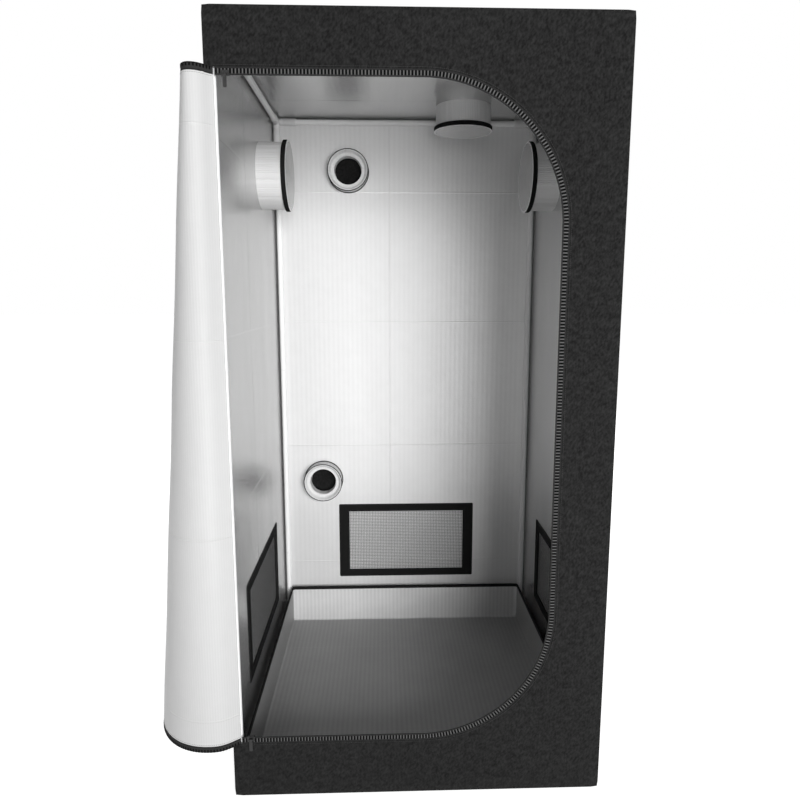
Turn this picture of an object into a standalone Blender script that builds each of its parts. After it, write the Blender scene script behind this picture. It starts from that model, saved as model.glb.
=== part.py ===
"""Indoor grow tent: pole frame, two-ply cloth skin, rolled front door, ports, vents and floor tray.

Metres, +Z up. X runs across the front, the front faces -Y, and the origin is on the ground
under the middle of the floor.
"""

import math

import bmesh
import bpy
from mathutils import Matrix, Vector

# Tent
WIDTH = 0.80
DEPTH = 0.80
HEIGHT = 1.60
CLOTH = 0.0012
LINING = 0.0008
GAP = 0.0003

# Pole frame
POLE_RADIUS = 0.0080
POLE_WALL = 0.0010
SLEEVE_RADIUS = 0.0104
SLEEVE_LENGTH = 0.058
BALL_RADIUS = 0.0112
BORE_DEPTH_FROM_CENTRE = 0.012
ROUND_STEPS = 16

# Door opening, measured to the middle of its zip
HINGE_INSET = 0.0195
OPENING_TOP_INSET = 0.1164
OPENING_BOTTOM = 0.1358
OPENING_RIGHT_INSET = 0.119
OPENING_CORNER_RADIUS = 0.275
CORNER_STEPS = 16
ZIP_WIDTH = 0.0144
ZIP_THICKNESS = 0.0030
ZIP_PROUD = 0.0010
ZIP_START_CLEARANCE = 0.0030
TAPE_THICKNESS = 0.0016
TAPE_EDGE_GAP = 0.0012

# Rolled door: plan sizes of the roll at its top and at its bottom, for a door of one width.
# A wider or narrower door gives a larger or smaller roll.
HINGE_STANDOFF = 0.0013
ROLL_SIZED_FOR_WIDTH = 0.6615
ROLL_FRONT_PROUD = 0.0272
ROLL_APEX_FROM_HINGE = (0.0375, 0.0645)
ROLL_LEFT_FROM_CORNER = (0.0375, 0.175)
ROLL_FRONT_ROUND = (0.027, 0.145)
ROLL_STRAIGHT = (0.075, 0.012)
ROLL_BACK_ROUND = (0.026, 0.055)
ROLL_WALL_CLEARANCE = 0.0050
ROLL_TURN_GAP = (0.0050, 0.0120)
ROLL_STRAIGHT_SHARE = 0.25
ROLL_QUARTERS = 9
ROLL_SEED_ANGLE = 36.0
ROLL_SLOPE_SHARE = 0.01
LEAD_STEPS = 8
QUARTER_STEPS = 8
LENGTH_STEPS = 6
DOOR_ROWS = 4
EDGE_RUNGS = 60
EDGE_HALVINGS = 8
FREE_EDGE_TIP = 0.030
TAPE_PITCH = 0.018

# Zip sliders and their pull tabs
SLIDER_LENGTH = 0.016
SLIDER_PLATE = 0.0012
SLIDER_WEB = 0.0015
SLIDER_COVER = 0.0085
SLIDER_PARK_FROM_HINGE = 0.022
EAR_THICKNESS = 0.0012
EAR_RADIUS = 0.0017
EAR_SPAN = 0.0066
TAB_PIN_RADIUS = 0.0006
TAB_STANDOFF = 0.0024
TAB_LENGTH = 0.026
TAB_WIDTH = 0.0070
TAB_THICKNESS = 0.0012
TAB_EYE_RADIUS = 0.0018
SMALL_STEPS = 12

# Floor tray
TRAY_HEIGHT = 0.120
TRAY_WALL = 0.0015
BINDING_WALL = 0.0008
BINDING_HEIGHT = 0.010

# Duct ports
SIDE_DUCT_RADIUS = 0.0875
SIDE_DUCT_DEPTH = 0.080
SIDE_DUCT_FROM_BACK = 0.232
SIDE_DUCT_FROM_TOP = 0.206
ROOF_DUCT_RADIUS = 0.0765
ROOF_DUCT_DEPTH = 0.070
ROOF_DUCT_FROM_RIGHT = 0.243
ROOF_DUCT_FROM_BACK = 0.150
SOCK_WALL = 0.0012
HEM_WIDTH = 0.0118
HEM_BULK = 0.0050
HEM_ROUND = 0.0014
DUCT_STEPS = 32

# Cable ports
UPPER_CABLE_FROM_LEFT = 0.226
UPPER_CABLE_FROM_TOP = 0.154
LOWER_CABLE_FROM_LEFT = 0.134
LOWER_CABLE_Z = 0.480
SLEEVE_OUTER_RADIUS = 0.0600
SLEEVE_LIP_RADIUS = 0.0580
SLEEVE_STEP_RADIUS = 0.0514
SLEEVE_MOUTH_RADIUS = 0.0412
SLEEVE_BORE_RADIUS = 0.0400
SLEEVE_REACH = 0.0438
SLEEVE_STEP_AT = 0.0305
CLOSURE_WALL = 0.0012
CLOSURE_REACH = 0.014
CLOSURE_NECK_RADIUS = 0.007
CLOSURE_NECK_AT = 0.020
CLOSURE_TUFT_RADIUS = 0.011
CLOSURE_TUFT_AT = 0.026
CABLE_STEPS = 24

# Mesh vents and their outer flaps
VENT_WIDTH = 0.442
VENT_HEIGHT = 0.250
VENT_BORDER_SIDE = 0.0335
VENT_BORDER_EDGE = 0.0250
VENT_BORDER_THICKNESS = 0.0012
VENT_Z = 0.270
BACK_VENT_X = 0.003
SIDE_VENT_Y = 0.013
NET_TUCK = 0.003
NET_THICKNESS = 0.0010
NET_BAR = 0.0024
NET_COLUMNS = 10
NET_ROWS = 5
FLAP_WIDTH = 0.450
FLAP_HEIGHT = 0.275
FLAP_CORNER_RADIUS = 0.012
FLAP_CORNER_STEPS = 4

CUT_OVERRUN = 0.002
WELD_DISTANCE = 0.00001

WALL = CLOTH + GAP + LINING
INSIDE_X = WIDTH / 2 - WALL
INSIDE_Y = DEPTH / 2 - WALL
INSIDE_TOP = HEIGHT - WALL
FRAME_X = INSIDE_X - GAP - BALL_RADIUS
FRAME_Y = INSIDE_Y - GAP - BALL_RADIUS
FRAME_LOW = CLOTH + GAP + BALL_RADIUS
FRAME_HIGH = INSIDE_TOP - GAP - BALL_RADIUS
HINGE_X = -WIDTH / 2 + HINGE_INSET
HINGE_Y = -DEPTH / 2 - HINGE_STANDOFF
OPENING_TOP = HEIGHT - OPENING_TOP_INSET
OPENING_RIGHT = WIDTH / 2 - OPENING_RIGHT_INSET
ROLL_GROWTH = (OPENING_RIGHT - HINGE_X) / ROLL_SIZED_FOR_WIDTH
ZIP_FRONT = -DEPTH / 2 - ZIP_PROUD
SIDE_DUCT_Y = DEPTH / 2 - SIDE_DUCT_FROM_BACK
SIDE_DUCT_Z = HEIGHT - SIDE_DUCT_FROM_TOP
ROOF_DUCT_X = WIDTH / 2 - ROOF_DUCT_FROM_RIGHT
ROOF_DUCT_Y = DEPTH / 2 - ROOF_DUCT_FROM_BACK
UPPER_CABLE_X = -WIDTH / 2 + UPPER_CABLE_FROM_LEFT
UPPER_CABLE_Z = HEIGHT - UPPER_CABLE_FROM_TOP
LOWER_CABLE_X = -WIDTH / 2 + LOWER_CABLE_FROM_LEFT

PLANES = {
    "XY": Matrix(((1, 0, 0), (0, 1, 0), (0, 0, 1))),
    "XZ": Matrix(((1, 0, 0), (0, 0, -1), (0, 1, 0))),
    "YZ": Matrix(((0, 0, 1), (1, 0, 0), (0, 1, 0))),
}
NORMALS = {"XY": Vector((0, 0, 1)), "XZ": Vector((0, 1, 0)), "YZ": Vector((1, 0, 0))}

INWARD_TURN = {
    "left": (0.0, math.pi / 2, 0.0),
    "right": (0.0, -math.pi / 2, 0.0),
    "back": (math.pi / 2, 0.0, 0.0),
    "roof": (math.pi, 0.0, 0.0),
}

for leftover in list(bpy.data.objects):
    bpy.data.objects.remove(leftover)

tent = bpy.data.collections.new("grow_tent")
bpy.context.scene.collection.children.link(tent)


def make_material(name, colour, roughness, metallic=0.0):
    finish = bpy.data.materials.new(name)
    finish.use_nodes = True
    shader = finish.node_tree.nodes["Principled BSDF"]
    shader.inputs["Base Color"].default_value = (*colour, 1.0)
    shader.inputs["Roughness"].default_value = roughness
    shader.inputs["Metallic"].default_value = metallic
    return finish


BLACK_CLOTH = make_material("black_oxford_cloth", (0.026, 0.027, 0.027), 0.85)
WHITE_LINING = make_material("white_reflective_lining", (0.80, 0.80, 0.80), 0.32)
WHITE_TUBE = make_material("white_coated_steel", (0.86, 0.86, 0.86), 0.28, 0.1)
WHITE_PLASTIC = make_material("white_plastic", (0.83, 0.83, 0.83), 0.40)
GREY_TAPE = make_material("dark_grey_zip_tape", (0.055, 0.056, 0.056), 0.80)
BLACK_TAPE = make_material("black_webbing", (0.012, 0.012, 0.012), 0.70)
BLACK_NET = make_material("black_net", (0.030, 0.030, 0.030), 0.75)
TRAY_CLOTH = make_material("grey_tray_cloth", (0.30, 0.31, 0.31), 0.55)
BLACK_METAL = make_material("black_zip_metal", (0.020, 0.020, 0.020), 0.35, 0.8)


def add_part(node, mesh, material, location=(0, 0, 0), rotation=(0, 0, 0)):
    part = bpy.data.objects.new(node, mesh)
    part.location = location
    part.rotation_euler = rotation
    mesh.materials.clear()
    mesh.materials.append(material)
    tent.objects.link(part)
    return part


def welded(mesh):
    shape = bmesh.new()
    shape.from_mesh(mesh)
    bmesh.ops.remove_doubles(shape, verts=shape.verts, dist=WELD_DISTANCE)
    bmesh.ops.recalc_face_normals(shape, faces=shape.faces)
    shape.to_mesh(mesh)
    shape.free()
    return mesh


def evaluated_mesh(source):
    graph = bpy.context.evaluated_depsgraph_get()
    return bpy.data.meshes.new_from_object(source.evaluated_get(graph))


def combined(base, joins, cutters):
    """Join and cut a base object, then drop the helper objects and return the finished mesh."""
    for operation, helpers in (("UNION", joins), ("DIFFERENCE", cutters)):
        for helper in helpers:
            boolean = base.modifiers.new(operation.title(), "BOOLEAN")
            boolean.operation = operation
            boolean.object = helper
    bpy.context.view_layer.update()
    mesh = evaluated_mesh(base)
    mesh.transform(base.matrix_world)
    for helper in [base, *joins, *cutters]:
        bpy.data.objects.remove(helper)
    return mesh


def helper_object(mesh, location=(0, 0, 0), rotation=(0, 0, 0)):
    helper = bpy.data.objects.new("helper", mesh)
    helper.location = location
    helper.rotation_euler = rotation
    bpy.context.scene.collection.objects.link(helper)
    return helper


def rectangle(low_u, high_u, low_v, high_v):
    return [(low_u, low_v), (high_u, low_v), (high_u, high_v), (low_u, high_v)]


def arc(centre_u, centre_v, radius, start, end, steps):
    """Points on an arc, angles in degrees."""
    points = []
    for step in range(steps + 1):
        angle = math.radians(start + (end - start) * step / steps)
        points.append((centre_u + radius * math.cos(angle), centre_v + radius * math.sin(angle)))
    return points


def circle(centre_u, centre_v, radius, steps):
    return arc(centre_u, centre_v, radius, 0, 360, steps)[:-1]


def rounded_rectangle(low_u, high_u, low_v, high_v, radius, steps):
    points = []
    corners = (
        (high_u - radius, high_v - radius, 0),
        (low_u + radius, high_v - radius, 90),
        (low_u + radius, low_v + radius, 180),
        (high_u - radius, low_v + radius, 270),
    )
    for centre_u, centre_v, start in corners:
        points += arc(centre_u, centre_v, radius, start, start + 90, steps)
    return points


def plate_mesh(name, outlines, thickness):
    """Flat sheet in the XY plane. The first outline is its edge and the others are holes."""
    curve = bpy.data.curves.new(name, "CURVE")
    curve.dimensions = "2D"
    curve.fill_mode = "BOTH"
    curve.extrude = thickness / 2
    for outline in outlines:
        spline = curve.splines.new("POLY")
        spline.points.add(len(outline) - 1)
        for knot, (u, v) in zip(spline.points, outline):
            knot.co = (u, v, 0.0, 1.0)
        spline.use_cyclic_u = True
    holder = helper_object(curve)
    bpy.context.view_layer.update()
    mesh = evaluated_mesh(holder)
    bpy.data.objects.remove(holder)
    return welded(mesh)


def plate(node, outlines, thickness, plane, level, material):
    """Flat sheet in a named plane, with its middle at a level along the plane's normal."""
    part = add_part(node, plate_mesh(node, outlines, thickness), material)
    part.matrix_world = Matrix.Translation(NORMALS[plane] * level) @ PLANES[plane].to_4x4()
    return part


def cylinder_mesh(name, radius, length, steps, capped=True):
    mesh = bpy.data.meshes.new(name)
    shape = bmesh.new()
    bmesh.ops.create_cone(
        shape, cap_ends=capped, segments=steps, radius1=radius, radius2=radius, depth=length
    )
    shape.to_mesh(mesh)
    shape.free()
    return mesh


def box_mesh(name, size_x, size_y, size_z):
    mesh = bpy.data.meshes.new(name)
    shape = bmesh.new()
    bmesh.ops.create_cube(shape, size=1.0)
    bmesh.ops.scale(shape, vec=(size_x, size_y, size_z), verts=shape.verts)
    shape.to_mesh(mesh)
    shape.free()
    return mesh


def turned(node, profile, closed, steps, material, location, rotation):
    """Body turned about its own Z axis from a profile of (radius, height) points."""
    mesh = bpy.data.meshes.new(node)
    shape = bmesh.new()
    corners = [shape.verts.new((radius, 0.0, height)) for radius, height in profile]
    for first, second in zip(corners, corners[1:]):
        shape.edges.new((first, second))
    if closed:
        shape.edges.new((corners[-1], corners[0]))
    shape.to_mesh(mesh)
    shape.free()
    part = add_part(node, mesh, material, location, rotation)
    screw = part.modifiers.new("Turn", "SCREW")
    screw.steps = steps
    screw.render_steps = steps
    screw.use_merge_vertices = True
    screw.merge_threshold = WELD_DISTANCE
    screw.use_normal_calculate = False
    return part


def soften(part, angle=35.0):
    part.data.shade_smooth()
    part.data.set_sharp_from_angle(angle=math.radians(angle))


# Pole frame

def pole(node, centre, length, rotation):
    """Thin-walled round tube lying along its own Z axis."""
    part = add_part(
        node, cylinder_mesh(node, POLE_RADIUS, length, ROUND_STEPS, capped=False),
        WHITE_TUBE, centre, rotation,
    )
    wall = part.modifiers.new("Tube wall", "SOLIDIFY")
    wall.thickness = POLE_WALL
    wall.offset = -1.0
    soften(part)
    return part


def corner_joint(node, side_x, side_y, side_z, centre):
    """Three-way plastic corner: a ball with three sleeves, each bored for a pole end."""
    ball = bpy.data.meshes.new(node)
    shape = bmesh.new()
    bmesh.ops.create_uvsphere(
        shape, u_segments=ROUND_STEPS, v_segments=ROUND_STEPS // 2, radius=BALL_RADIUS
    )
    shape.to_mesh(ball)
    shape.free()
    half_turn = math.pi / 2
    directions = (
        (Vector((-side_x, 0, 0)), (0, half_turn, 0)),
        (Vector((0, -side_y, 0)), (half_turn, 0, 0)),
        (Vector((0, 0, -side_z)), (0, 0, 0)),
    )
    bore_length = SLEEVE_LENGTH - BORE_DEPTH_FROM_CENTRE + CUT_OVERRUN
    sleeves = []
    bores = []
    for direction, turn in directions:
        sleeve = cylinder_mesh("sleeve", SLEEVE_RADIUS, SLEEVE_LENGTH, ROUND_STEPS)
        sleeves.append(helper_object(sleeve, direction * SLEEVE_LENGTH / 2, turn))
        bore = cylinder_mesh("bore", POLE_RADIUS + GAP, bore_length, ROUND_STEPS)
        bore_middle = direction * (BORE_DEPTH_FROM_CENTRE + bore_length / 2)
        bores.append(helper_object(bore, bore_middle, turn))
    mesh = combined(helper_object(ball), sleeves, bores)
    part = add_part(node, mesh, WHITE_PLASTIC, centre)
    soften(part)


def pole_frame():
    end_gap = 2 * (BORE_DEPTH_FROM_CENTRE + GAP)
    half_turn = math.pi / 2
    post_middle = (FRAME_LOW + FRAME_HIGH) / 2
    post_length = FRAME_HIGH - FRAME_LOW - end_gap
    sides_x = (("left", -1), ("right", 1))
    sides_y = (("front", -1), ("back", 1))
    levels = (("bottom", FRAME_LOW, -1), ("top", FRAME_HIGH, 1))
    for name_y, side_y in sides_y:
        for name_x, side_x in sides_x:
            place = (side_x * FRAME_X, side_y * FRAME_Y, post_middle)
            pole(f"post_{name_y}_{name_x}", place, post_length, (0, 0, 0))
    for name_z, level, side_z in levels:
        for name_y, side_y in sides_y:
            place = (0, side_y * FRAME_Y, level)
            pole(f"{name_z}_rail_{name_y}", place, 2 * FRAME_X - end_gap, (0, half_turn, 0))
        for name_x, side_x in sides_x:
            place = (side_x * FRAME_X, 0, level)
            pole(f"{name_z}_rail_{name_x}", place, 2 * FRAME_Y - end_gap, (half_turn, 0, 0))
        for name_y, side_y in sides_y:
            for name_x, side_x in sides_x:
                corner_joint(
                    f"corner_{name_z}_{name_y}_{name_x}", side_x, side_y, side_z,
                    (side_x * FRAME_X, side_y * FRAME_Y, level),
                )


# Skin and lining

def opening_outline(margin):
    """Edge of the D-shaped door opening, moved outwards by a margin, without its hinge side.

    The points run from the hinge side along the top, down the right and back along the bottom.
    """
    radius = OPENING_CORNER_RADIUS
    centre_x = OPENING_RIGHT - radius
    points = [(HINGE_X, OPENING_TOP + margin)]
    points += arc(centre_x, OPENING_TOP - radius, radius + margin, 90, 0, CORNER_STEPS)
    points += arc(centre_x, OPENING_BOTTOM + radius, radius + margin, 0, -90, CORNER_STEPS)
    points.append((HINGE_X, OPENING_BOTTOM - margin))
    return points


def vent_hole(middle):
    half_width = VENT_WIDTH / 2 - VENT_BORDER_SIDE + NET_TUCK
    half_height = VENT_HEIGHT / 2 - VENT_BORDER_EDGE + NET_TUCK
    return rectangle(
        middle - half_width, middle + half_width, VENT_Z - half_height, VENT_Z + half_height
    )


def skin_and_lining():
    door_hole = opening_outline(ZIP_WIDTH / 2 + GAP)
    side_duct = circle(SIDE_DUCT_Y, SIDE_DUCT_Z, SIDE_DUCT_RADIUS + GAP, DUCT_STEPS)
    roof_duct = circle(ROOF_DUCT_X, ROOF_DUCT_Y, ROOF_DUCT_RADIUS + GAP, DUCT_STEPS)
    cable_holes = [
        circle(UPPER_CABLE_X, UPPER_CABLE_Z, SLEEVE_BORE_RADIUS, CABLE_STEPS),
        circle(LOWER_CABLE_X, LOWER_CABLE_Z, SLEEVE_BORE_RADIUS, CABLE_STEPS),
    ]
    side_holes = [vent_hole(SIDE_VENT_Y), side_duct]
    back_holes = [vent_hole(BACK_VENT_X), *cable_holes]

    edge_x = WIDTH / 2 - CLOTH - GAP
    edge_y = DEPTH / 2 - CLOTH - GAP
    low = CLOTH + GAP
    high = HEIGHT - CLOTH - GAP
    side_cloth = rectangle(-DEPTH / 2, DEPTH / 2, low, high)
    end_cloth = rectangle(-edge_x, edge_x, low, high)
    whole = rectangle(-WIDTH / 2, WIDTH / 2, -DEPTH / 2, DEPTH / 2)
    cloth_x = WIDTH / 2 - CLOTH / 2
    cloth_y = DEPTH / 2 - CLOTH / 2
    plate("front_panel", [end_cloth, door_hole], CLOTH, "XZ", -cloth_y, BLACK_CLOTH)
    plate("back_wall", [end_cloth, *back_holes], CLOTH, "XZ", cloth_y, BLACK_CLOTH)
    plate("left_wall", [side_cloth, *side_holes], CLOTH, "YZ", -cloth_x, BLACK_CLOTH)
    plate("right_wall", [side_cloth, *side_holes], CLOTH, "YZ", cloth_x, BLACK_CLOTH)
    plate("roof_panel", [whole, roof_duct], CLOTH, "XY", HEIGHT - CLOTH / 2, BLACK_CLOTH)
    plate("floor_panel", [whole], CLOTH, "XY", CLOTH / 2, BLACK_CLOTH)

    inner_x = INSIDE_X - GAP
    inner_y = INSIDE_Y - GAP
    side_lining = rectangle(-edge_y, edge_y, low, high)
    end_lining = rectangle(-inner_x, inner_x, low, high)
    roof_lining = rectangle(-inner_x, inner_x, -inner_y, inner_y)
    lining_x = INSIDE_X + LINING / 2
    lining_y = INSIDE_Y + LINING / 2
    lining_z = INSIDE_TOP + LINING / 2
    plate("front_lining", [end_lining, door_hole], LINING, "XZ", -lining_y, WHITE_LINING)
    plate("back_lining", [end_lining, *back_holes], LINING, "XZ", lining_y, WHITE_LINING)
    plate("left_lining", [side_lining, *side_holes], LINING, "YZ", -lining_x, WHITE_LINING)
    plate("right_lining", [side_lining, *side_holes], LINING, "YZ", lining_x, WHITE_LINING)
    plate("roof_lining", [roof_lining, roof_duct], LINING, "XY", lining_z, WHITE_LINING)


# Rolled door

def between(sizes, height):
    """A size of the roll at a height, from its values at the top and bottom of the opening."""
    top_size, bottom_size = sizes
    share = (OPENING_TOP - height) / (OPENING_TOP - OPENING_BOTTOM)
    return (top_size + (bottom_size - top_size) * share) * ROLL_GROWTH


def roll_quarter(turn, height):
    """Plan point of the roll, whose quarters run apex, left side, back tip, right side, apex.

    Each side point rules a straight part behind it, and every turn lies inside the one before.
    """
    quarter = int(turn) % 4
    share = turn - int(turn)
    inset = between(ROLL_TURN_GAP, height) * turn / 4
    left_x = -WIDTH / 2 - between(ROLL_LEFT_FROM_CORNER, height)
    right_x = -WIDTH / 2 - ROLL_WALL_CLEARANCE
    front_y = -DEPTH / 2 - ROLL_FRONT_PROUD * ROLL_GROWTH
    side = Vector((left_x + inset, front_y))
    if quarter >= 2:
        side.x = right_x - inset
    side.y += between(ROLL_FRONT_ROUND, height)
    from_side = share if quarter % 2 else 1 - share
    if quarter in (0, 3):
        tip_x = HINGE_X - between(ROLL_APEX_FROM_HINGE, height)
        tip_y = front_y + inset
        round_share = from_side
    else:
        straight = between(ROLL_STRAIGHT, height)
        tip_x = (left_x + right_x) / 2
        tip_y = side.y + straight + between(ROLL_BACK_ROUND, height) - inset
        side.y += straight * min(from_side / ROLL_STRAIGHT_SHARE, 1)
        round_share = max(from_side - ROLL_STRAIGHT_SHARE, 0) / (1 - ROLL_STRAIGHT_SHARE)
    angle = round_share * math.pi / 2
    return Vector((
        side.x + (tip_x - side.x) * (1 - math.cos(angle)),
        side.y + (tip_y - side.y) * math.sin(angle),
    ))


def roll_point(turn, height, offset=0.0):
    """Plan point of the roll: turns -1 to 0 lead from the hinge to the apex, then one a quarter.

    The offset moves the point outwards, across the sheet.
    """
    here = roll_centreline(turn, height)
    if turn < 1:
        ahead = roll_centreline(turn + ROLL_SLOPE_SHARE, height) - here
    else:
        ahead = here - roll_centreline(turn - ROLL_SLOPE_SHARE, height)
    outwards = Vector((-ahead.y, ahead.x)).normalized()
    return here + outwards * offset


def roll_centreline(turn, height):
    if turn >= 0:
        return roll_quarter(turn, height)
    hinge = Vector((HINGE_X, HINGE_Y))
    apex = roll_quarter(0, height)
    slope = math.radians(ROLL_SEED_ANGLE)
    reach = (hinge.x - apex.x) / 2
    seed = hinge - Vector((math.cos(slope), math.sin(slope))) * reach
    early = apex + Vector((reach, 0))
    share = turn + 1
    rest = 1 - share
    return (
        hinge * rest ** 3
        + seed * 3 * rest ** 2 * share
        + early * 3 * rest * share ** 2
        + apex * share ** 3
    )


def turn_lengths(height):
    """Turns along the roll at a height, with the cloth's length from the hinge to each."""
    steps_lead = LEAD_STEPS * LENGTH_STEPS
    turns = [-1 + step / steps_lead for step in range(steps_lead)]
    steps_quarter = QUARTER_STEPS * LENGTH_STEPS
    turns += [step / steps_quarter for step in range(ROLL_QUARTERS * steps_quarter + 1)]
    lengths = [0.0]
    last = roll_centreline(turns[0], height)
    for turn in turns[1:]:
        here = roll_centreline(turn, height)
        lengths.append(lengths[-1] + (here - last).length)
        last = here
    return turns, lengths


def turn_at_length(length, height):
    turns, lengths = turn_lengths(height)
    return interpolate(lengths, turns, length)


def length_at_turn(turn, height):
    turns, lengths = turn_lengths(height)
    return interpolate(turns, lengths, turn)


def interpolate(inputs, outputs, value):
    for index in range(1, len(inputs)):
        if inputs[index] >= value:
            share = (value - inputs[index - 1]) / (inputs[index] - inputs[index - 1])
            return outputs[index - 1] + (outputs[index] - outputs[index - 1]) * share
    return outputs[-1]


def door_width(height, margin):
    """Width of the flat door at a height, from its hinge to its free edge."""
    radius = OPENING_CORNER_RADIUS + margin
    full = OPENING_RIGHT - HINGE_X + margin
    into_corner = max(
        height - (OPENING_TOP - OPENING_CORNER_RADIUS),
        OPENING_BOTTOM + OPENING_CORNER_RADIUS - height,
        0.0,
    )
    return full - radius + math.sqrt(max(radius ** 2 - into_corner ** 2, 0.0))


def door_grid(margin):
    """Columns of (turn, height) points that cover the flat door, each column a straight rule."""
    low = OPENING_BOTTOM - margin
    high = OPENING_TOP + margin
    heights = [low + (high - low) * rung / EDGE_RUNGS for rung in range(EDGE_RUNGS + 1)]
    last_turns = [turn_at_length(door_width(height, margin), height) for height in heights]
    columns = []
    turns = [-1 + step / LEAD_STEPS for step in range(LEAD_STEPS)]
    turns += [step / QUARTER_STEPS for step in range(ROLL_QUARTERS * QUARTER_STEPS + 1)]
    for turn in turns:
        inside = [index for index, last in enumerate(last_turns) if last >= turn]
        if not inside:
            break
        bottom = edge_height(heights, inside[0], -1, turn, margin)
        top = edge_height(heights, inside[-1], 1, turn, margin)
        if top - bottom < FREE_EDGE_TIP:
            break
        span = top - bottom
        columns.append([(turn, bottom + span * row / DOOR_ROWS) for row in range(DOOR_ROWS + 1)])
    return columns


def edge_height(heights, index, direction, turn, margin):
    """Height where the free edge crosses a turn, between a rung on the door and the next one."""
    beyond = index + direction
    if beyond < 0 or beyond >= len(heights):
        return heights[index]
    on_door, off_door = heights[index], heights[beyond]
    for halving in range(EDGE_HALVINGS):
        middle = (on_door + off_door) / 2
        if length_at_turn(turn, middle) <= door_width(middle, margin):
            on_door = middle
        else:
            off_door = middle
    return on_door


def door_sheet(node, grid, offset, thickness, material):
    mesh = bpy.data.meshes.new(node)
    shape = bmesh.new()
    rows = []
    for column in grid:
        points = [roll_point(turn, height, offset).to_3d() for turn, height in column]
        for point, (turn, height) in zip(points, column):
            point.z = height
        rows.append([shape.verts.new(point) for point in points])
    for left, right in zip(rows, rows[1:]):
        for index in range(len(left) - 1):
            shape.faces.new((left[index], right[index], right[index + 1], left[index + 1]))
    shape.to_mesh(mesh)
    shape.free()
    origin = Vector((HINGE_X, HINGE_Y, 0))
    mesh.transform(Matrix.Translation(-origin))
    part = add_part(node, mesh, material, origin)
    body = part.modifiers.new("Cloth", "SOLIDIFY")
    body.thickness = thickness
    body.offset = 0.0
    soften(part, 60.0)
    return part


def tape_stations():
    """Pairs of flat (length, height) points across the door's tape, along its whole edge."""
    inner_margin = -ZIP_WIDTH / 2 + TAPE_EDGE_GAP
    inner = opening_outline(inner_margin)
    outer = opening_outline(ZIP_WIDTH / 2)
    stations = []
    for index in range(len(inner) - 1):
        start = (Vector(inner[index]), Vector(outer[index]))
        end = (Vector(inner[index + 1]), Vector(outer[index + 1]))
        pieces = max(1, round((end[1] - start[1]).length / TAPE_PITCH))
        for piece in range(pieces):
            share = piece / pieces
            stations.append(tuple(a.lerp(b, share) for a, b in zip(start, end)))
    stations.append((Vector(inner[-1]), Vector(outer[-1])))
    return stations


def door_tape():
    """Half of the zip: a strip round the door's top, free and bottom edges, rolled with it."""
    mesh = bpy.data.meshes.new("door_zip_tape")
    shape = bmesh.new()
    rails = []
    for pair in tape_stations():
        edge = []
        for flat in pair:
            turn = turn_at_length(flat.x - HINGE_X, flat.y)
            plan = roll_point(turn, flat.y)
            edge.append(shape.verts.new((plan.x, plan.y, flat.y)))
        rails.append(edge)
    for first, second in zip(rails, rails[1:]):
        shape.faces.new((first[0], first[1], second[1], second[0]))
    shape.to_mesh(mesh)
    shape.free()
    origin = Vector((HINGE_X, HINGE_Y, 0))
    mesh.transform(Matrix.Translation(-origin))
    part = add_part("door_zip_tape", mesh, GREY_TAPE, origin)
    body = part.modifiers.new("Tape", "SOLIDIFY")
    body.thickness = TAPE_THICKNESS
    body.offset = 0.0
    soften(part, 60.0)


def rolled_door():
    grid = door_grid(-ZIP_WIDTH / 2)
    spacing = (CLOTH + LINING) / 4 + GAP / 2
    door_sheet("door_lining", grid, spacing + (CLOTH - LINING) / 4, LINING, WHITE_LINING)
    door_sheet("door_cloth", grid, -spacing + (CLOTH - LINING) / 4, CLOTH, BLACK_CLOTH)
    door_tape()


# Zip on the opening

def zip_chain():
    """The other half of the zip: a strip sewn round the opening, bare of the hinge side."""
    outer = opening_outline(ZIP_WIDTH / 2)
    inner = opening_outline(-ZIP_WIDTH / 2)
    start_x = HINGE_X + ZIP_START_CLEARANCE
    for line in (outer, inner):
        line[0] = (start_x, line[0][1])
        line[-1] = (start_x, line[-1][1])
    outline = outer + inner[::-1]
    level = ZIP_FRONT + ZIP_THICKNESS / 2
    plate("door_zip_chain", [outline], ZIP_THICKNESS, "XZ", level, GREY_TAPE)


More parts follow.
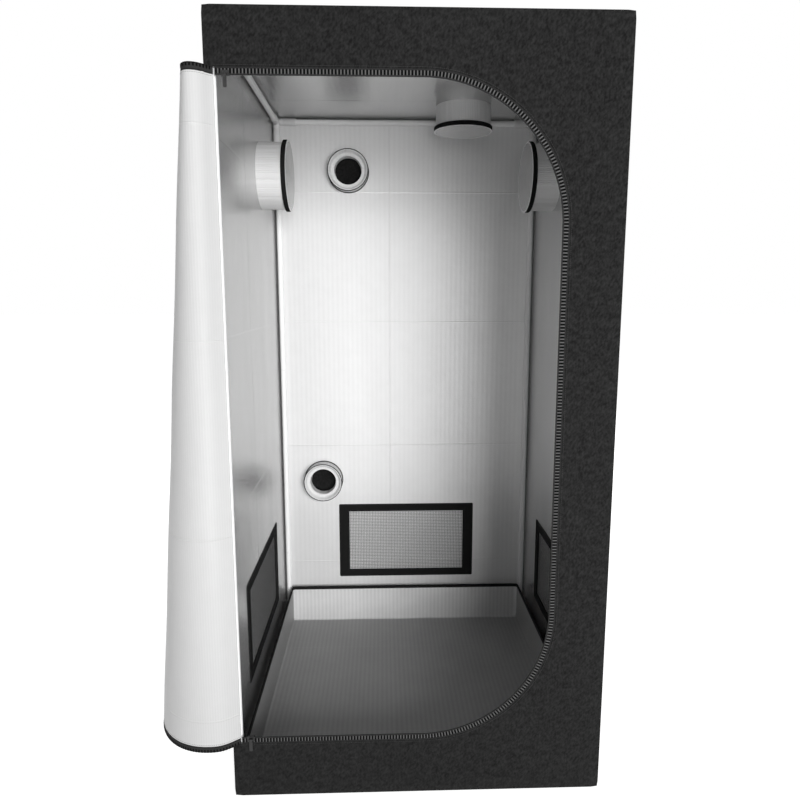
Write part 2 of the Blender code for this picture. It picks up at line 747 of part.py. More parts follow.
def slider(name, chain_height, inner_side):
    """Slider clipped over the chain's inner edge. Its inner side is -1 below the chain, 1 above.

    Its origin is on the chain's middle line, at the start of its travel.
    """
    place = Vector((HINGE_X + SLIDER_PARK_FROM_HINGE, ZIP_FRONT, chain_height))
    inner_edge = ZIP_WIDTH / 2 + GAP
    closed_end = inner_side * (inner_edge + SLIDER_WEB)
    open_end = inner_side * (inner_edge - SLIDER_COVER)
    front_y = -GAP
    back_y = ZIP_THICKNESS + GAP
    channel_outline = [
        (front_y - SLIDER_PLATE, open_end),
        (front_y - SLIDER_PLATE, closed_end),
        (back_y + SLIDER_PLATE, closed_end),
        (back_y + SLIDER_PLATE, open_end),
        (back_y, open_end),
        (back_y, inner_side * inner_edge),
        (front_y, inner_side * inner_edge),
        (front_y, open_end),
    ]
    channel = plate_mesh("channel", [channel_outline], SLIDER_LENGTH)
    channel.transform(PLANES["YZ"].to_4x4())
    pin_y = front_y - SLIDER_PLATE - TAB_STANDOFF
    pin_z = (open_end + closed_end) / 2
    ear_outline = arc(pin_y, pin_z, EAR_RADIUS, 90, 270, SMALL_STEPS // 2)
    ear_root = front_y - SLIDER_PLATE / 2
    ear_outline += [(ear_root, pin_z - EAR_RADIUS), (ear_root, pin_z + EAR_RADIUS)]
    joins = []
    for side in (-1, 1):
        ear = plate_mesh("ear", [ear_outline], EAR_THICKNESS)
        ear.transform(PLANES["YZ"].to_4x4())
        ear_x = side * (EAR_SPAN / 2 + EAR_THICKNESS / 2)
        joins.append(helper_object(ear, (ear_x, 0, 0)))
    pin = cylinder_mesh("pin", TAB_PIN_RADIUS, EAR_SPAN + EAR_THICKNESS, SMALL_STEPS)
    joins.append(helper_object(pin, (0, pin_y, pin_z), (0, math.pi / 2, 0)))
    mesh = combined(helper_object(channel), joins, [])
    add_part(f"{name}_slider", mesh, BLACK_METAL, place)
    pull_tab(name, place + Vector((0, pin_y, pin_z)))


def pull_tab(name, pin_centre):
    """Flat pull hanging from the slider's pin, its origin on the pin."""
    eye_width = EAR_SPAN - 2 * GAP
    eye = cylinder_mesh("eye", TAB_EYE_RADIUS, eye_width, SMALL_STEPS)
    eye.transform(Matrix.Rotation(math.pi / 2, 4, "Y"))
    neck = eye_width / 2 - GAP
    half = TAB_WIDTH / 2
    shoulder = -2 * TAB_EYE_RADIUS
    round_z = TAB_EYE_RADIUS - TAB_LENGTH
    outline = [(neck, 0.0), (neck, shoulder), (half, shoulder - TAB_EYE_RADIUS)]
    outline += arc(half - TAB_EYE_RADIUS, round_z, TAB_EYE_RADIUS, 0, -90, FLAP_CORNER_STEPS)
    outline += arc(TAB_EYE_RADIUS - half, round_z, TAB_EYE_RADIUS, -90, -180, FLAP_CORNER_STEPS)
    outline += [(-half, shoulder - TAB_EYE_RADIUS), (-neck, shoulder), (-neck, 0.0)]
    blade = plate_mesh("blade", [outline], TAB_THICKNESS)
    blade.transform(PLANES["XZ"].to_4x4())
    bore_length = eye_width + 2 * CUT_OVERRUN
    bore = cylinder_mesh("bore", TAB_PIN_RADIUS + GAP, bore_length, SMALL_STEPS)
    bore_helper = helper_object(bore, (0, 0, 0), (0, math.pi / 2, 0))
    mesh = combined(helper_object(eye), [helper_object(blade)], [bore_helper])
    add_part(f"{name}_pull_tab", mesh, BLACK_METAL, pin_centre)


# Floor tray

def square_ring(name, outer_x, outer_y, wall, height):
    outlines = [
        rectangle(-outer_x, outer_x, -outer_y, outer_y),
        rectangle(-outer_x + wall, outer_x - wall, -outer_y + wall, outer_y - wall),
    ]
    return plate_mesh(name, outlines, height)


def floor_tray():
    binding_x = FRAME_X - SLEEVE_RADIUS - GAP
    binding_y = FRAME_Y - SLEEVE_RADIUS - GAP
    step = BINDING_WALL + GAP
    tray_x = binding_x - step
    tray_y = binding_y - step
    base = CLOTH + GAP
    tray = box_mesh("floor_tray", 2 * tray_x, 2 * tray_y, TRAY_HEIGHT - base)
    shape = bmesh.new()
    shape.from_mesh(tray)
    lids = [face for face in shape.faces if face.normal.z > 0.5]
    bmesh.ops.delete(shape, geom=lids, context="FACES")
    shape.to_mesh(tray)
    shape.free()
    part = add_part("floor_tray", tray, TRAY_CLOTH, (0, 0, (TRAY_HEIGHT + base) / 2))
    walls = part.modifiers.new("Tray walls", "SOLIDIFY")
    walls.thickness = TRAY_WALL
    walls.offset = -1.0
    walls.use_even_offset = True

    ring_height = BINDING_HEIGHT + BINDING_WALL + GAP
    ring_wall = TRAY_WALL + 2 * step
    ring = helper_object(square_ring("binding", binding_x, binding_y, ring_wall, ring_height))
    slot_height = BINDING_HEIGHT + GAP + CUT_OVERRUN
    slot = square_ring("slot", binding_x - BINDING_WALL, binding_y - BINDING_WALL,
                       ring_wall - 2 * BINDING_WALL, slot_height)
    slot_z = -ring_height / 2 - CUT_OVERRUN + slot_height / 2
    mesh = combined(ring, [], [helper_object(slot, (0, 0, slot_z))])
    ring_z = TRAY_HEIGHT - BINDING_HEIGHT + ring_height / 2
    add_part("tray_binding", mesh, BLACK_TAPE, (0, 0, ring_z))


# Ports

def duct_port(name, radius, depth, place, rotation):
    """Closed sock that stands into the tent, with a bulky elastic hem behind its end disc."""
    rim = radius + GAP + HEM_BULK
    profile = [
        (0.0, depth),
        (rim, depth),
        (rim, depth - SOCK_WALL),
        (radius, depth - SOCK_WALL),
        (radius, 0.0),
        (radius - SOCK_WALL, 0.0),
        (radius - SOCK_WALL, depth - SOCK_WALL),
        (0.0, depth - SOCK_WALL),
    ]
    sock = turned(f"{name}_duct_sock", profile, False, DUCT_STEPS, WHITE_LINING, place, rotation)
    soften(sock)
    high = depth - SOCK_WALL - GAP
    low = high - HEM_WIDTH
    inner = radius + GAP
    hem_profile = [
        (inner, high),
        (rim - HEM_ROUND, high),
        (rim, high - HEM_ROUND),
        (rim, low + HEM_ROUND),
        (rim - HEM_ROUND, low),
        (inner, low),
    ]
    hem = turned(f"{name}_duct_hem", hem_profile, True, DUCT_STEPS, BLACK_TAPE, place, rotation)
    soften(hem)


def cable_port(name, place, rotation):
    """Double-cuffed sleeve inside the wall and a tied-off cloth closure outside it."""
    seat = WALL + GAP
    profile = [
        (SLEEVE_LIP_RADIUS, SLEEVE_REACH),
        (SLEEVE_OUTER_RADIUS, SLEEVE_REACH - CLOSURE_WALL),
        (SLEEVE_OUTER_RADIUS, seat),
        (SLEEVE_BORE_RADIUS, seat),
        (SLEEVE_MOUTH_RADIUS, SLEEVE_STEP_AT),
        (SLEEVE_STEP_RADIUS, SLEEVE_STEP_AT),
    ]
    sleeve = turned(
        f"{name}_cable_sleeve", profile, True, CABLE_STEPS, WHITE_LINING, place, rotation
    )
    soften(sleeve)
    outer = SLEEVE_BORE_RADIUS - GAP
    closure_profile = [
        (0.0, -CLOSURE_NECK_AT + CLOSURE_WALL),
        (CLOSURE_NECK_RADIUS - CLOSURE_WALL, -CLOSURE_NECK_AT + CLOSURE_WALL),
        (outer - CLOSURE_WALL, -CLOSURE_REACH + CLOSURE_WALL),
        (outer - CLOSURE_WALL, WALL),
        (outer, WALL),
        (outer, -CLOSURE_REACH),
        (CLOSURE_NECK_RADIUS, -CLOSURE_NECK_AT),
        (CLOSURE_TUFT_RADIUS, -CLOSURE_TUFT_AT),
        (0.0, -CLOSURE_TUFT_AT),
    ]
    closure = turned(
        f"{name}_cable_closure", closure_profile, False, CABLE_STEPS, BLACK_CLOTH, place, rotation
    )
    soften(closure)


def ports():
    half_x, half_y = WIDTH / 2, DEPTH / 2
    left_place = (-half_x, SIDE_DUCT_Y, SIDE_DUCT_Z)
    right_place = (half_x, SIDE_DUCT_Y, SIDE_DUCT_Z)
    roof_place = (ROOF_DUCT_X, ROOF_DUCT_Y, HEIGHT)
    duct_port("left", SIDE_DUCT_RADIUS, SIDE_DUCT_DEPTH, left_place, INWARD_TURN["left"])
    duct_port("right", SIDE_DUCT_RADIUS, SIDE_DUCT_DEPTH, right_place, INWARD_TURN["right"])
    duct_port("roof", ROOF_DUCT_RADIUS, ROOF_DUCT_DEPTH, roof_place, INWARD_TURN["roof"])
    cable_port("upper", (UPPER_CABLE_X, half_y, UPPER_CABLE_Z), INWARD_TURN["back"])
    cable_port("lower", (LOWER_CABLE_X, half_y, LOWER_CABLE_Z), INWARD_TURN["back"])


# Vents

def net_outlines(middle):
    """Outline of a net and its rectangular gaps, in rows and columns between equal bars."""
    half_width = VENT_WIDTH / 2 - VENT_BORDER_SIDE + NET_TUCK - GAP
    half_height = VENT_HEIGHT / 2 - VENT_BORDER_EDGE + NET_TUCK - GAP
    low_u, low_v = middle - half_width, VENT_Z - half_height
    outlines = [rectangle(low_u, middle + half_width, low_v, VENT_Z + half_height)]
    gap_u = (2 * half_width - NET_TUCK * 2 - NET_BAR * (NET_COLUMNS - 1)) / NET_COLUMNS
    gap_v = (2 * half_height - NET_TUCK * 2 - NET_BAR * (NET_ROWS - 1)) / NET_ROWS
    for column in range(NET_COLUMNS):
        start_u = low_u + NET_TUCK + column * (gap_u + NET_BAR)
        for row in range(NET_ROWS):
            start_v = low_v + NET_TUCK + row * (gap_v + NET_BAR)
            outlines.append(rectangle(start_u, start_u + gap_u, start_v, start_v + gap_v))
    return outlines


def vent(name, plane, outward, half_span, middle):
    """Webbing frame on the lining, net in the wall, and an outer flap hinged at its top."""
    frame_level = outward * (half_span - WALL - GAP - VENT_BORDER_THICKNESS / 2)
    half_width, half_height = VENT_WIDTH / 2, VENT_HEIGHT / 2
    border = rectangle(
        middle - half_width, middle + half_width, VENT_Z - half_height, VENT_Z + half_height
    )
    window = rectangle(
        middle - half_width + VENT_BORDER_SIDE, middle + half_width - VENT_BORDER_SIDE,
        VENT_Z - half_height + VENT_BORDER_EDGE, VENT_Z + half_height - VENT_BORDER_EDGE,
    )
    plate(f"{name}_vent_frame", [border, window], VENT_BORDER_THICKNESS, plane, frame_level,
          BLACK_TAPE)
    net_level = outward * (half_span - WALL + NET_THICKNESS / 2)
    plate(f"{name}_vent_net", net_outlines(middle), NET_THICKNESS, plane, net_level, BLACK_NET)

    hinge_level = outward * (half_span + GAP + CLOTH / 2)
    hinge_height = VENT_Z + FLAP_HEIGHT / 2
    outline = rounded_rectangle(
        -FLAP_WIDTH / 2, FLAP_WIDTH / 2, -FLAP_HEIGHT, 0.0, FLAP_CORNER_RADIUS, FLAP_CORNER_STEPS
    )
    flap = add_part(
        f"{name}_vent_flap", plate_mesh(f"{name}_vent_flap", [outline], CLOTH), BLACK_CLOTH
    )
    along = Vector((0, middle, 0)) if plane == "YZ" else Vector((middle, 0, 0))
    place = NORMALS[plane] * hinge_level + along + Vector((0, 0, hinge_height))
    flap.matrix_world = Matrix.Translation(place) @ PLANES[plane].to_4x4()


def vents():
    vent("back", "XZ", 1, DEPTH / 2, BACK_VENT_X)
    vent("left", "YZ", -1, WIDTH / 2, SIDE_VENT_Y)
    vent("right", "YZ", 1, WIDTH / 2, SIDE_VENT_Y)


pole_frame()
skin_and_lining()
rolled_door()
zip_chain()
slider("upper", OPENING_TOP, -1)
slider("lower", OPENING_BOTTOM, 1)
floor_tray()
ports()
vents()
bpy.context.view_layer.update()
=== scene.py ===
"""Finish of the indoor grow tent: cloth, lining, zip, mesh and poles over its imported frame.

Metres, +Z up. The tent's front faces -Y and its origin is on the ground under its middle.
"""

import math

import bmesh
import bpy
import numpy as np
from mathutils import Matrix, Vector
from mathutils.geometry import delaunay_2d_cdt


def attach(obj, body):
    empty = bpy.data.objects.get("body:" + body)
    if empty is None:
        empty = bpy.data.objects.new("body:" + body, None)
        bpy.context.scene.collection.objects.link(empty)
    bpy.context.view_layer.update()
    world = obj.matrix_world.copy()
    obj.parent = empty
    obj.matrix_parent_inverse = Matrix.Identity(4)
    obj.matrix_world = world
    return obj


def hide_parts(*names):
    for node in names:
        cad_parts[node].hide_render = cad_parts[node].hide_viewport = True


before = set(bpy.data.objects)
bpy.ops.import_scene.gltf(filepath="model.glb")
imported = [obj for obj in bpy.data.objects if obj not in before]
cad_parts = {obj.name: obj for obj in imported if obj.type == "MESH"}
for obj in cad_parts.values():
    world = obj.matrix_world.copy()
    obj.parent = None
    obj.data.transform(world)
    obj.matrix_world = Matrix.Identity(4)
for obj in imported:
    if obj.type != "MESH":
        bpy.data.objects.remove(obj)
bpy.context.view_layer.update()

# Tent and its plies
HALF = 0.400
HEIGHT = 1.600
EDGE_ROUND = 0.008
CLOTH = 0.0012
LINING = 0.0008
PLY_GAP = 0.0003
LINING_DEPTH = CLOTH + PLY_GAP
WALL = LINING_DEPTH + LINING
CLOTH_CELL = 0.016
SAG = 0.0002
SAG_FADE = (0.015, 0.090)

# Door opening and its zip
HINGE_X = -0.3805
HINGE_Y = -0.4013
OPENING_TOP = 1.4836
OPENING_BOTTOM = 0.1358
OPENING_RIGHT = 0.281
OPENING_CORNER = 0.275
CORNER_STEPS = 32
ZIP_HALF = 0.0072
ZIP_START = HINGE_X + 0.003
ZIP_LEVEL = -0.3984
TOOTH_LEVEL = -0.39990
SEAM_LEVEL = -0.40005
TOOTH_PITCH = 0.0064
OPENING_TOOTH = (0.0040, 0.0090, 0.0007)
DOOR_TOOTH = (0.0030, 0.0064, 0.0009)
OPENING_SEAM_AWAY = 0.0035
DOOR_SEAM_AWAY = 0.0030
ZIP_PATH_STEP = 0.006

# Sewn seams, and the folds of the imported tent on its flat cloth
STITCH = (0.0026, 0.0006, 0.0002)
ZIP_SEAM_PITCH = 0.0040
TRIM_SEAM_PITCH = 0.0038
TRIM_PATH_STEP = 0.02
TRIM_SEGMENTS = 160
FOLD_FIRST = 0.199
FOLD_PITCH = 0.396
FOLD_LEFT = 0.05
CREASE_HALF = 0.0028

# Rolled door: plan sizes of the roll at its top and at its bottom
ROLL_PROUD = 0.0272
ROLL_APEX = (0.0375, 0.0645)
ROLL_LEFT = (0.0375, 0.175)
ROLL_FRONT_ROUND = (0.027, 0.145)
ROLL_STRAIGHT = (0.075, 0.012)
ROLL_BACK_ROUND = (0.026, 0.055)
ROLL_TURN_GAP = (0.0050, 0.0120)
ROLL_CLEARANCE = 0.0050
ROLL_STRAIGHT_SHARE = 0.25
ROLL_SEED = math.radians(36.0)

# Door cloth: cells of its pattern, and distances out of the roll's middle line
DOOR_CELL = (0.0045, 0.022)
DOOR_CORNER_STEPS = 40
DOOR_LINING_OUT = 0.00115
DOOR_CLOTH_OUT = 0.00005
DOOR_TAPE_OUT = 0.00080
DOOR_SEAM_OUT = 0.00118

# Ports: centre across, centre up or back, radius
SIDE_DUCT = (0.168, 1.394, 0.0875)
ROOF_DUCT = (0.157, 0.250, 0.0765)
SIDE_DUCT_DEPTH = 0.080
ROOF_DUCT_DEPTH = 0.070
UPPER_CABLE = (-0.174, 1.446, 0.040)
LOWER_CABLE = (-0.266, 0.480, 0.040)

# Port trims: sock, elastic hem, and the cuff's piping at its radius and height
SOCK_WALL = 0.0012
SOCK_RIM = 0.0050
SOCK_RIB_PITCH = 0.0050
HEM_HEIGHT = 0.0118
HEM_GATHER_PITCH = 0.0080
PIPING_PLACE = (0.0600, 0.0424)
PIPING_RADIUS = 0.0014

# Vents, their nets and their flaps
VENT_Z = 0.270
BACK_VENT_X = 0.003
SIDE_VENT_Y = 0.013
VENT_HALF = (0.221, 0.125)
WINDOW_HALF = (0.1875, 0.100)
NET_HALF = (0.1905, 0.103)
FLAP_SIZE = (0.450, 0.275)
FLAP_TRIM = 0.0014
FLAP_SEAM_IN = 0.0055
OUTER_SEAM_HALF = (0.217, 0.121)
INNER_SEAM_HALF = (0.1915, 0.104)
WEBBING_CELL = 0.012
WEBBING_PLY = 0.0012
NET_PITCH = 0.0052
STRAND = 0.00078
STRAND_THICKNESS = 0.00045

# Pole frame
FRAME_XY = 0.3862
FRAME_LOW = 0.0127
FRAME_HIGH = 1.5862
POLE_RADIUS = 0.0080
SLEEVE_RADIUS = 0.0104
SLEEVE_LENGTH = 0.058
BALL_RADIUS = 0.0112
BORE_START = 0.012

# Floor tray
TRAY_HALF = 0.3744
TRAY_LOW = 0.0015
TRAY_WALL = 0.0015
TRAY_TOP = 0.120
TRAY_CORNER = 0.010
TRAY_FOLD = 0.006
TRAY_BINDING_HALF = 0.37365
TRAY_BINDING_LOW = 0.1111

# Camera: degrees down and to the right, millimetres of lens, and shares of the picture
VIEW_PLACE = (-0.0742, -1.6823, 1.0838)
VIEW_DOWN = 8.859
VIEW_RIGHT = 1.891
VIEW_LENS = 29.47
VIEW_SENSOR = 36.0
VIEW_SHIFT = (-0.00456, -0.00695)

workshop = bpy.data.collections.new("grow_tent_finish")
bpy.context.scene.collection.children.link(workshop)


# Camera

lens = bpy.data.cameras.new("tent_view")
lens.lens = VIEW_LENS
lens.sensor_width = VIEW_SENSOR
lens.shift_x, lens.shift_y = VIEW_SHIFT
camera = bpy.data.objects.new("tent_view", lens)
camera.location = VIEW_PLACE
camera.rotation_euler = (math.radians(90 - VIEW_DOWN), 0, math.radians(-VIEW_RIGHT))
bpy.context.scene.collection.objects.link(camera)
bpy.context.scene.camera = camera


# Finishes

class Signal:
    """A number that varies over a surface. Arithmetic on it adds Math nodes to its finish."""

    def __init__(self, finish, socket):
        self.finish = finish
        self.socket = socket

    def maths(self, operation, *values):
        sockets = dict(enumerate(values))
        return self.finish.node("ShaderNodeMath", {"operation": operation}, sockets)

    def __add__(self, other):
        return self.maths("ADD", self, other)

    def __radd__(self, other):
        return self.maths("ADD", other, self)

    def __sub__(self, other):
        return self.maths("SUBTRACT", self, other)

    def __rsub__(self, other):
        return self.maths("SUBTRACT", other, self)

    def __mul__(self, other):
        return self.maths("MULTIPLY", self, other)

    def __abs__(self):
        return self.maths("ABSOLUTE", self)

    def wave(self, pitch):
        """Sine of the value with one full swing for each pitch."""
        turns = self * (2 * math.pi / pitch)
        return turns.maths("SINE", turns)

    def ribs(self, pitch):
        """The same sine, from 0 to 1."""
        return self.wave(pitch) * 0.5 + 0.5

    def nearest(self, pitch):
        """Distance to the nearest multiple of a pitch."""
        return self.maths("PINGPONG", self, pitch / 2)

    def rise(self, low, high):
        """Smooth step from 0 at the low value to 1 at the high one."""
        settings = {"interpolation_type": "SMOOTHSTEP"}
        sockets = {0: self, 1: low, 2: high, 3: 0.0, 4: 1.0}
        return self.finish.node("ShaderNodeMapRange", settings, sockets)

    def ridge(self, half_width):
        """1 where the value is nothing, falling to 0 at a half width to each side."""
        return 1 - abs(self).rise(0.0, half_width)


class Finish:
    """A surface finish, built in nodes round its Principled shader."""

    def __init__(self, name, colour=0.5, roughness=0.5, **constants):
        self.material = bpy.data.materials.new(name)
        self.material.use_nodes = True
        self.shader = self.material.node_tree.nodes["Principled BSDF"]
        self.set("Base Color", self.grey(colour))
        self.set("Roughness", roughness)
        for socket, value in constants.items():
            self.set(socket.replace("_", " ").title().replace("Ior", "IOR"), value)

    @staticmethod
    def grey(value):
        return value if isinstance(value, (tuple, Signal)) else (value, value, value, 1.0)

    def feed(self, socket, value):
        if isinstance(value, Signal):
            self.material.node_tree.links.new(value.socket, socket)
        else:
            socket.default_value = value

    def set(self, socket, value):
        self.feed(self.shader.inputs[socket], value)

    def node(self, kind, settings=None, sockets=None, output=0):
        made = self.material.node_tree.nodes.new(kind)
        for key, value in (settings or {}).items():
            setattr(made, key, value)
        for socket, value in (sockets or {}).items():
            self.feed(made.inputs[socket], value)
        return Signal(self, made.outputs[output])

    def flat_place(self):
        """Place on the flat cloth, in metres across and along it."""
        place = self.node("ShaderNodeUVMap", {"uv_map": "cloth"})
        parts = self.node("ShaderNodeSeparateXYZ", None, {0: place})
        return parts, Signal(self, parts.socket.node.outputs[1])

    def solid_place(self):
        """Place in the tent, as one vector."""
        return self.node("ShaderNodeTexCoord", output=3)

    def noise(self, place, scale, detail=3.0, roughness=0.5):
        sockets = {"Vector": place, "Scale": scale, "Detail": detail, "Roughness": roughness}
        return self.node("ShaderNodeTexNoise", None, sockets)

    def vector(self, x, y):
        return self.node("ShaderNodeCombineXYZ", None, {0: x, 1: y})

    def blend(self, share, low, high):
        """Colour that goes from one grey or colour to another as the share goes from 0 to 1."""
        sockets = {0: share, 6: self.grey(low), 7: self.grey(high)}
        return self.node("ShaderNodeMix", {"data_type": "RGBA"}, sockets, output=2)

    def relief(self, height, distance):
        """Bump of a height from 0 to 1, with its depth in metres."""
        sockets = {"Strength": 1.0, "Distance": distance, "Height": height}
        self.set("Normal", self.node("ShaderNodeBump", None, sockets))


def fold_lines(across, along):
    """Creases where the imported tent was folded: one upright, and one every fold along it."""
    repeated = (along - FOLD_FIRST).nearest(FOLD_PITCH).ridge(CREASE_HALF)
    return repeated + (across + FOLD_LEFT).ridge(CREASE_HALF)


def black_oxford():
    """Coated black cloth: a fine plain weave under a coat pressed with dashes and blocks."""
    finish = Finish("black_oxford_cloth", roughness=0.72, specular_ior_level=0.10)
    across, along = finish.flat_place()
    weave = across.wave(0.0018) * along.wave(0.0018)
    dashes = finish.noise(finish.vector(across * 210, along * 120), 1.0, 2.0)
    slants = finish.noise(finish.vector((across + along) * 70, (across - along) * 190), 1.0, 2.0)
    blocks = finish.noise(finish.vector(across, along), 62.0, 3.0, 0.6)
    clouds = finish.noise(finish.vector(across, along), 5.0, 2.0)
    folds = fold_lines(across, along)
    pressed = dashes.rise(0.36, 0.66) * 0.55 + slants.rise(0.34, 0.68) * 0.45
    tone = pressed * 0.62 + blocks.rise(0.34, 0.68) * 0.28 + clouds * 0.20
    finish.set("Base Color", finish.blend(tone + folds * 0.10, 0.0030, 0.0250))
    finish.set("Roughness", 0.60 + slants * 0.25)
    finish.relief(pressed * 0.8 + blocks * 0.3 + weave * 0.12 + folds * 0.5, 0.0007)
    return finish.material


def reflective_film(name, flute_pitch, flute_depth, colour=0.80, roughness=0.30, metallic=0.85):
    """Silvery lining film with pressed flutes, a fine cross weave and packing folds."""
    finish = Finish(name, colour, roughness, metallic=metallic)
    across, along = finish.flat_place()
    flutes = across.ribs(flute_pitch)
    threads = along.ribs(0.0024)
    uneven = finish.noise(finish.vector(across * 14, along * 3.5), 1.0, 3.0)
    crumple = finish.noise(finish.vector(across, along), 26.0, 4.0, 0.55)
    folds = fold_lines(across, along)
    height = flutes * flute_depth + threads * 0.00006 + crumple * 0.00045 + folds * 0.0005
    # The colour is lighter on the crests of the flutes and crumples: painted shade in their
    # hollows.
    tone = crumple * 0.5 + flutes * 0.3
    finish.set("Base Color", finish.blend(tone, colour * 0.93, colour * 1.03))
    finish.set("Roughness", roughness + uneven * 0.12 - folds * 0.05)
    finish.relief(height * 1000, 0.001)
    return finish.material


def zip_band(name, middle_colour):
    """Woven zip tape, with cords along both edges, ribs across and its own middle colour."""
    finish = Finish(name, roughness=0.80, specular_ior_level=0.12)
    along, across = finish.flat_place()
    ribs = along.ribs(0.0016)
    threads = across.ribs(0.0011)
    cords = (abs(across) - 0.0064).ridge(0.0011)
    middle = 1 - abs(across).rise(0.0036, 0.0050)
    wear = finish.noise(finish.vector(along, across), 180.0, 3.0)
    tone = middle * 0.82 + ribs * 0.06 + wear * 0.12
    finish.set("Base Color", finish.blend(tone, 0.016, middle_colour))
    finish.relief(ribs * 0.5 + threads * 0.4 + cords * 0.6, 0.0003)
    return finish.material


def black_webbing(name="black_webbing", rib=0.0020):
    """Black woven band: ribs across, finer threads along, with dust-pale flecks."""
    finish = Finish(name, roughness=0.85, specular_ior_level=0.06)
    along, across = finish.flat_place()
    ribs = along.ribs(rib)
    threads = across.ribs(rib * 0.6)
    flecks = finish.noise(finish.vector(along, across), 900.0, 2.0, 0.7).rise(0.62, 0.78)
    tone = ribs * 0.20 + threads * 0.20 + flecks * 0.60
    finish.set("Base Color", finish.blend(tone, 0.0045, 0.050))
    finish.relief(ribs * 0.6 + threads * 0.4, 0.0003)
    return finish.material


def tray_film():
    """Grey waterproof tray cloth with pressed bands, painted darker on its floor as shade and
    lighter on its uprights.
    """
    finish = Finish("grey_tray_cloth", roughness=0.46, metallic=0.15, specular_ior_level=0.40)
    across, along = finish.flat_place()
    bands = across.ribs(0.0125)
    threads = along.ribs(0.0021)
    cloud = finish.noise(finish.vector(across, along), 9.0, 4.0, 0.6)
    crumple = finish.noise(finish.vector(across, along), 40.0, 3.0)
    tone = bands * 0.30 + cloud * 0.70 + fold_lines(across, along) * 0.15
    # Floor and uprights are shaded and lit copies of one grey: painted shade on the floor, painted
    # light on the uprights.
    shaded_floor_tone = finish.blend(tone, 0.25, 0.38)
    lit_upright_tone = finish.blend(tone, 0.60, 0.86)
    upright = abs(along).rise(0.366, 0.376)
    finish.set("Base Color", finish.blend(upright, shaded_floor_tone, lit_upright_tone))
    finish.set("Roughness", 0.38 + cloud * 0.22)
    height = bands * 0.00014 + threads * 0.00005 + crumple * 0.0004
    finish.relief(height * 1000, 0.001)
    return finish.material


def net_thread():
    """Dull black knitted thread."""
    finish = Finish("black_net_thread", roughness=0.85, specular_ior_level=0.06)
    grain = finish.noise(finish.solid_place(), 1400.0, 2.0)
    finish.set("Base Color", finish.blend(grain, 0.012, 0.050))
    finish.relief(grain, 0.0002)
    return finish.material


def white_powder_coat():
    """White baked coat on thin steel tube, with a faint orange-peel surface."""
    finish = Finish("white_powder_coat", roughness=0.30, coat_weight=0.25, coat_roughness=0.12)
    place = finish.solid_place()
    peel = finish.noise(place, 420.0, 2.0)
    scuffs = finish.noise(place, 38.0, 5.0, 0.7).rise(0.60, 0.75)
    finish.set("Base Color", finish.blend(scuffs, 0.96, 0.86))
    finish.set("Roughness", 0.26 + peel * 0.12 + scuffs * 0.15)
    finish.relief(peel, 0.00012)
    return finish.material


def white_moulding():
    """Satin white moulded plastic with a fine spark-eroded grain."""
    finish = Finish("white_moulded_plastic", roughness=0.42, specular_ior_level=0.45)
    place = finish.solid_place()
    grain = finish.noise(place, 1600.0, 2.0)
    cloud = finish.noise(place, 60.0, 3.0)
    finish.set("Base Color", finish.blend(cloud, 0.80, 0.90))
    finish.set("Roughness", 0.36 + grain * 0.16)
    finish.relief(grain, 0.00010)
    return finish.material


def moulded_black(name, colour, roughness, gloss):
    """Hard black plastic or enamelled metal, a little worn."""
    finish = Finish(name, colour, roughness, specular_ior_level=gloss)
    place = finish.solid_place()
    wear = finish.noise(place, 260.0, 4.0, 0.65)
    finish.set("Base Color", finish.blend(wear.rise(0.45, 0.75), colour, colour * 2.4))
    finish.set("Roughness", roughness + wear * 0.2)
    finish.relief(wear, 0.00008)
    return finish.material


def cuff_cloth():
    """White coated cloth of the cable cuffs, gathered at its hem, greyed and darker in its gathers
    as painted shade.
    """
    finish = Finish("white_cuff_cloth", roughness=0.45, specular_ior_level=0.45)
    around, along = finish.flat_place()
    weave = around.wave(0.0016) * along.wave(0.0016) * 0.5 + 0.5
    gathers = finish.noise(finish.vector(around * 160, along * 14), 1.0, 2.0)
    # The grey range darkens with the gathers: painted shade in their folds, and greyed as painted
    # shade inside the port.
    finish.set("Base Color", finish.blend(gathers, 0.66, 0.82))
    finish.relief(gathers * 0.8 + weave * 0.15, 0.0008)
    return finish.material


def sewing_thread(name, colour):
    """Twisted polyester thread."""
    finish = Finish(name, roughness=0.6)
    twist = finish.noise(finish.solid_place(), 2600.0, 1.0)
    finish.set("Base Color", finish.blend(twist, colour * 0.7, colour * 1.3))
    finish.relief(twist, 0.0001)
    return finish.material


OXFORD = black_oxford()
# One lining film in two copies: a darker one for the side walls, roof and sock ends as painted
# shade, and a brighter one for the back wall and flap insides as painted light.
SHADED_FILM = reflective_film("shaded_lining_film", 0.0150, 0.00010, 0.53, 0.18, 0.80)
LIT_BACK_FILM = reflective_film("lit_back_lining_film", 0.0150, 0.00012, 0.91, 0.34, 0.30)
DOOR_FILM = reflective_film("door_lining_film", 0.0052, 0.00009, 0.60, 0.36, 0.20)
DUCT_FILM = reflective_film("duct_sock_film", 0.0042, 0.00022, 0.84, 0.32, 0.30)
ZIP_TAPE = zip_band("two_tone_zip_tape", 0.120)
DOOR_TAPE = zip_band("dark_door_tape", 0.030)
WEBBING = black_webbing()
ELASTIC = black_webbing("black_elastic", 0.0012)
TRAY_FILM = tray_film()
NET_THREAD = net_thread()
POWDER_COAT = white_powder_coat()
MOULDING = white_moulding()
TOOTH_PLASTIC = moulded_black("black_zip_teeth", 0.0020, 0.50, 0.06)
ENAMEL = moulded_black("black_slider_enamel", 0.0120, 0.26, 0.45)
CUFF_CLOTH = cuff_cloth()
BLACK_THREAD = sewing_thread("black_sewing_thread", 0.020)
GREY_THREAD = sewing_thread("grey_sewing_thread", 0.120)


# Mesh making

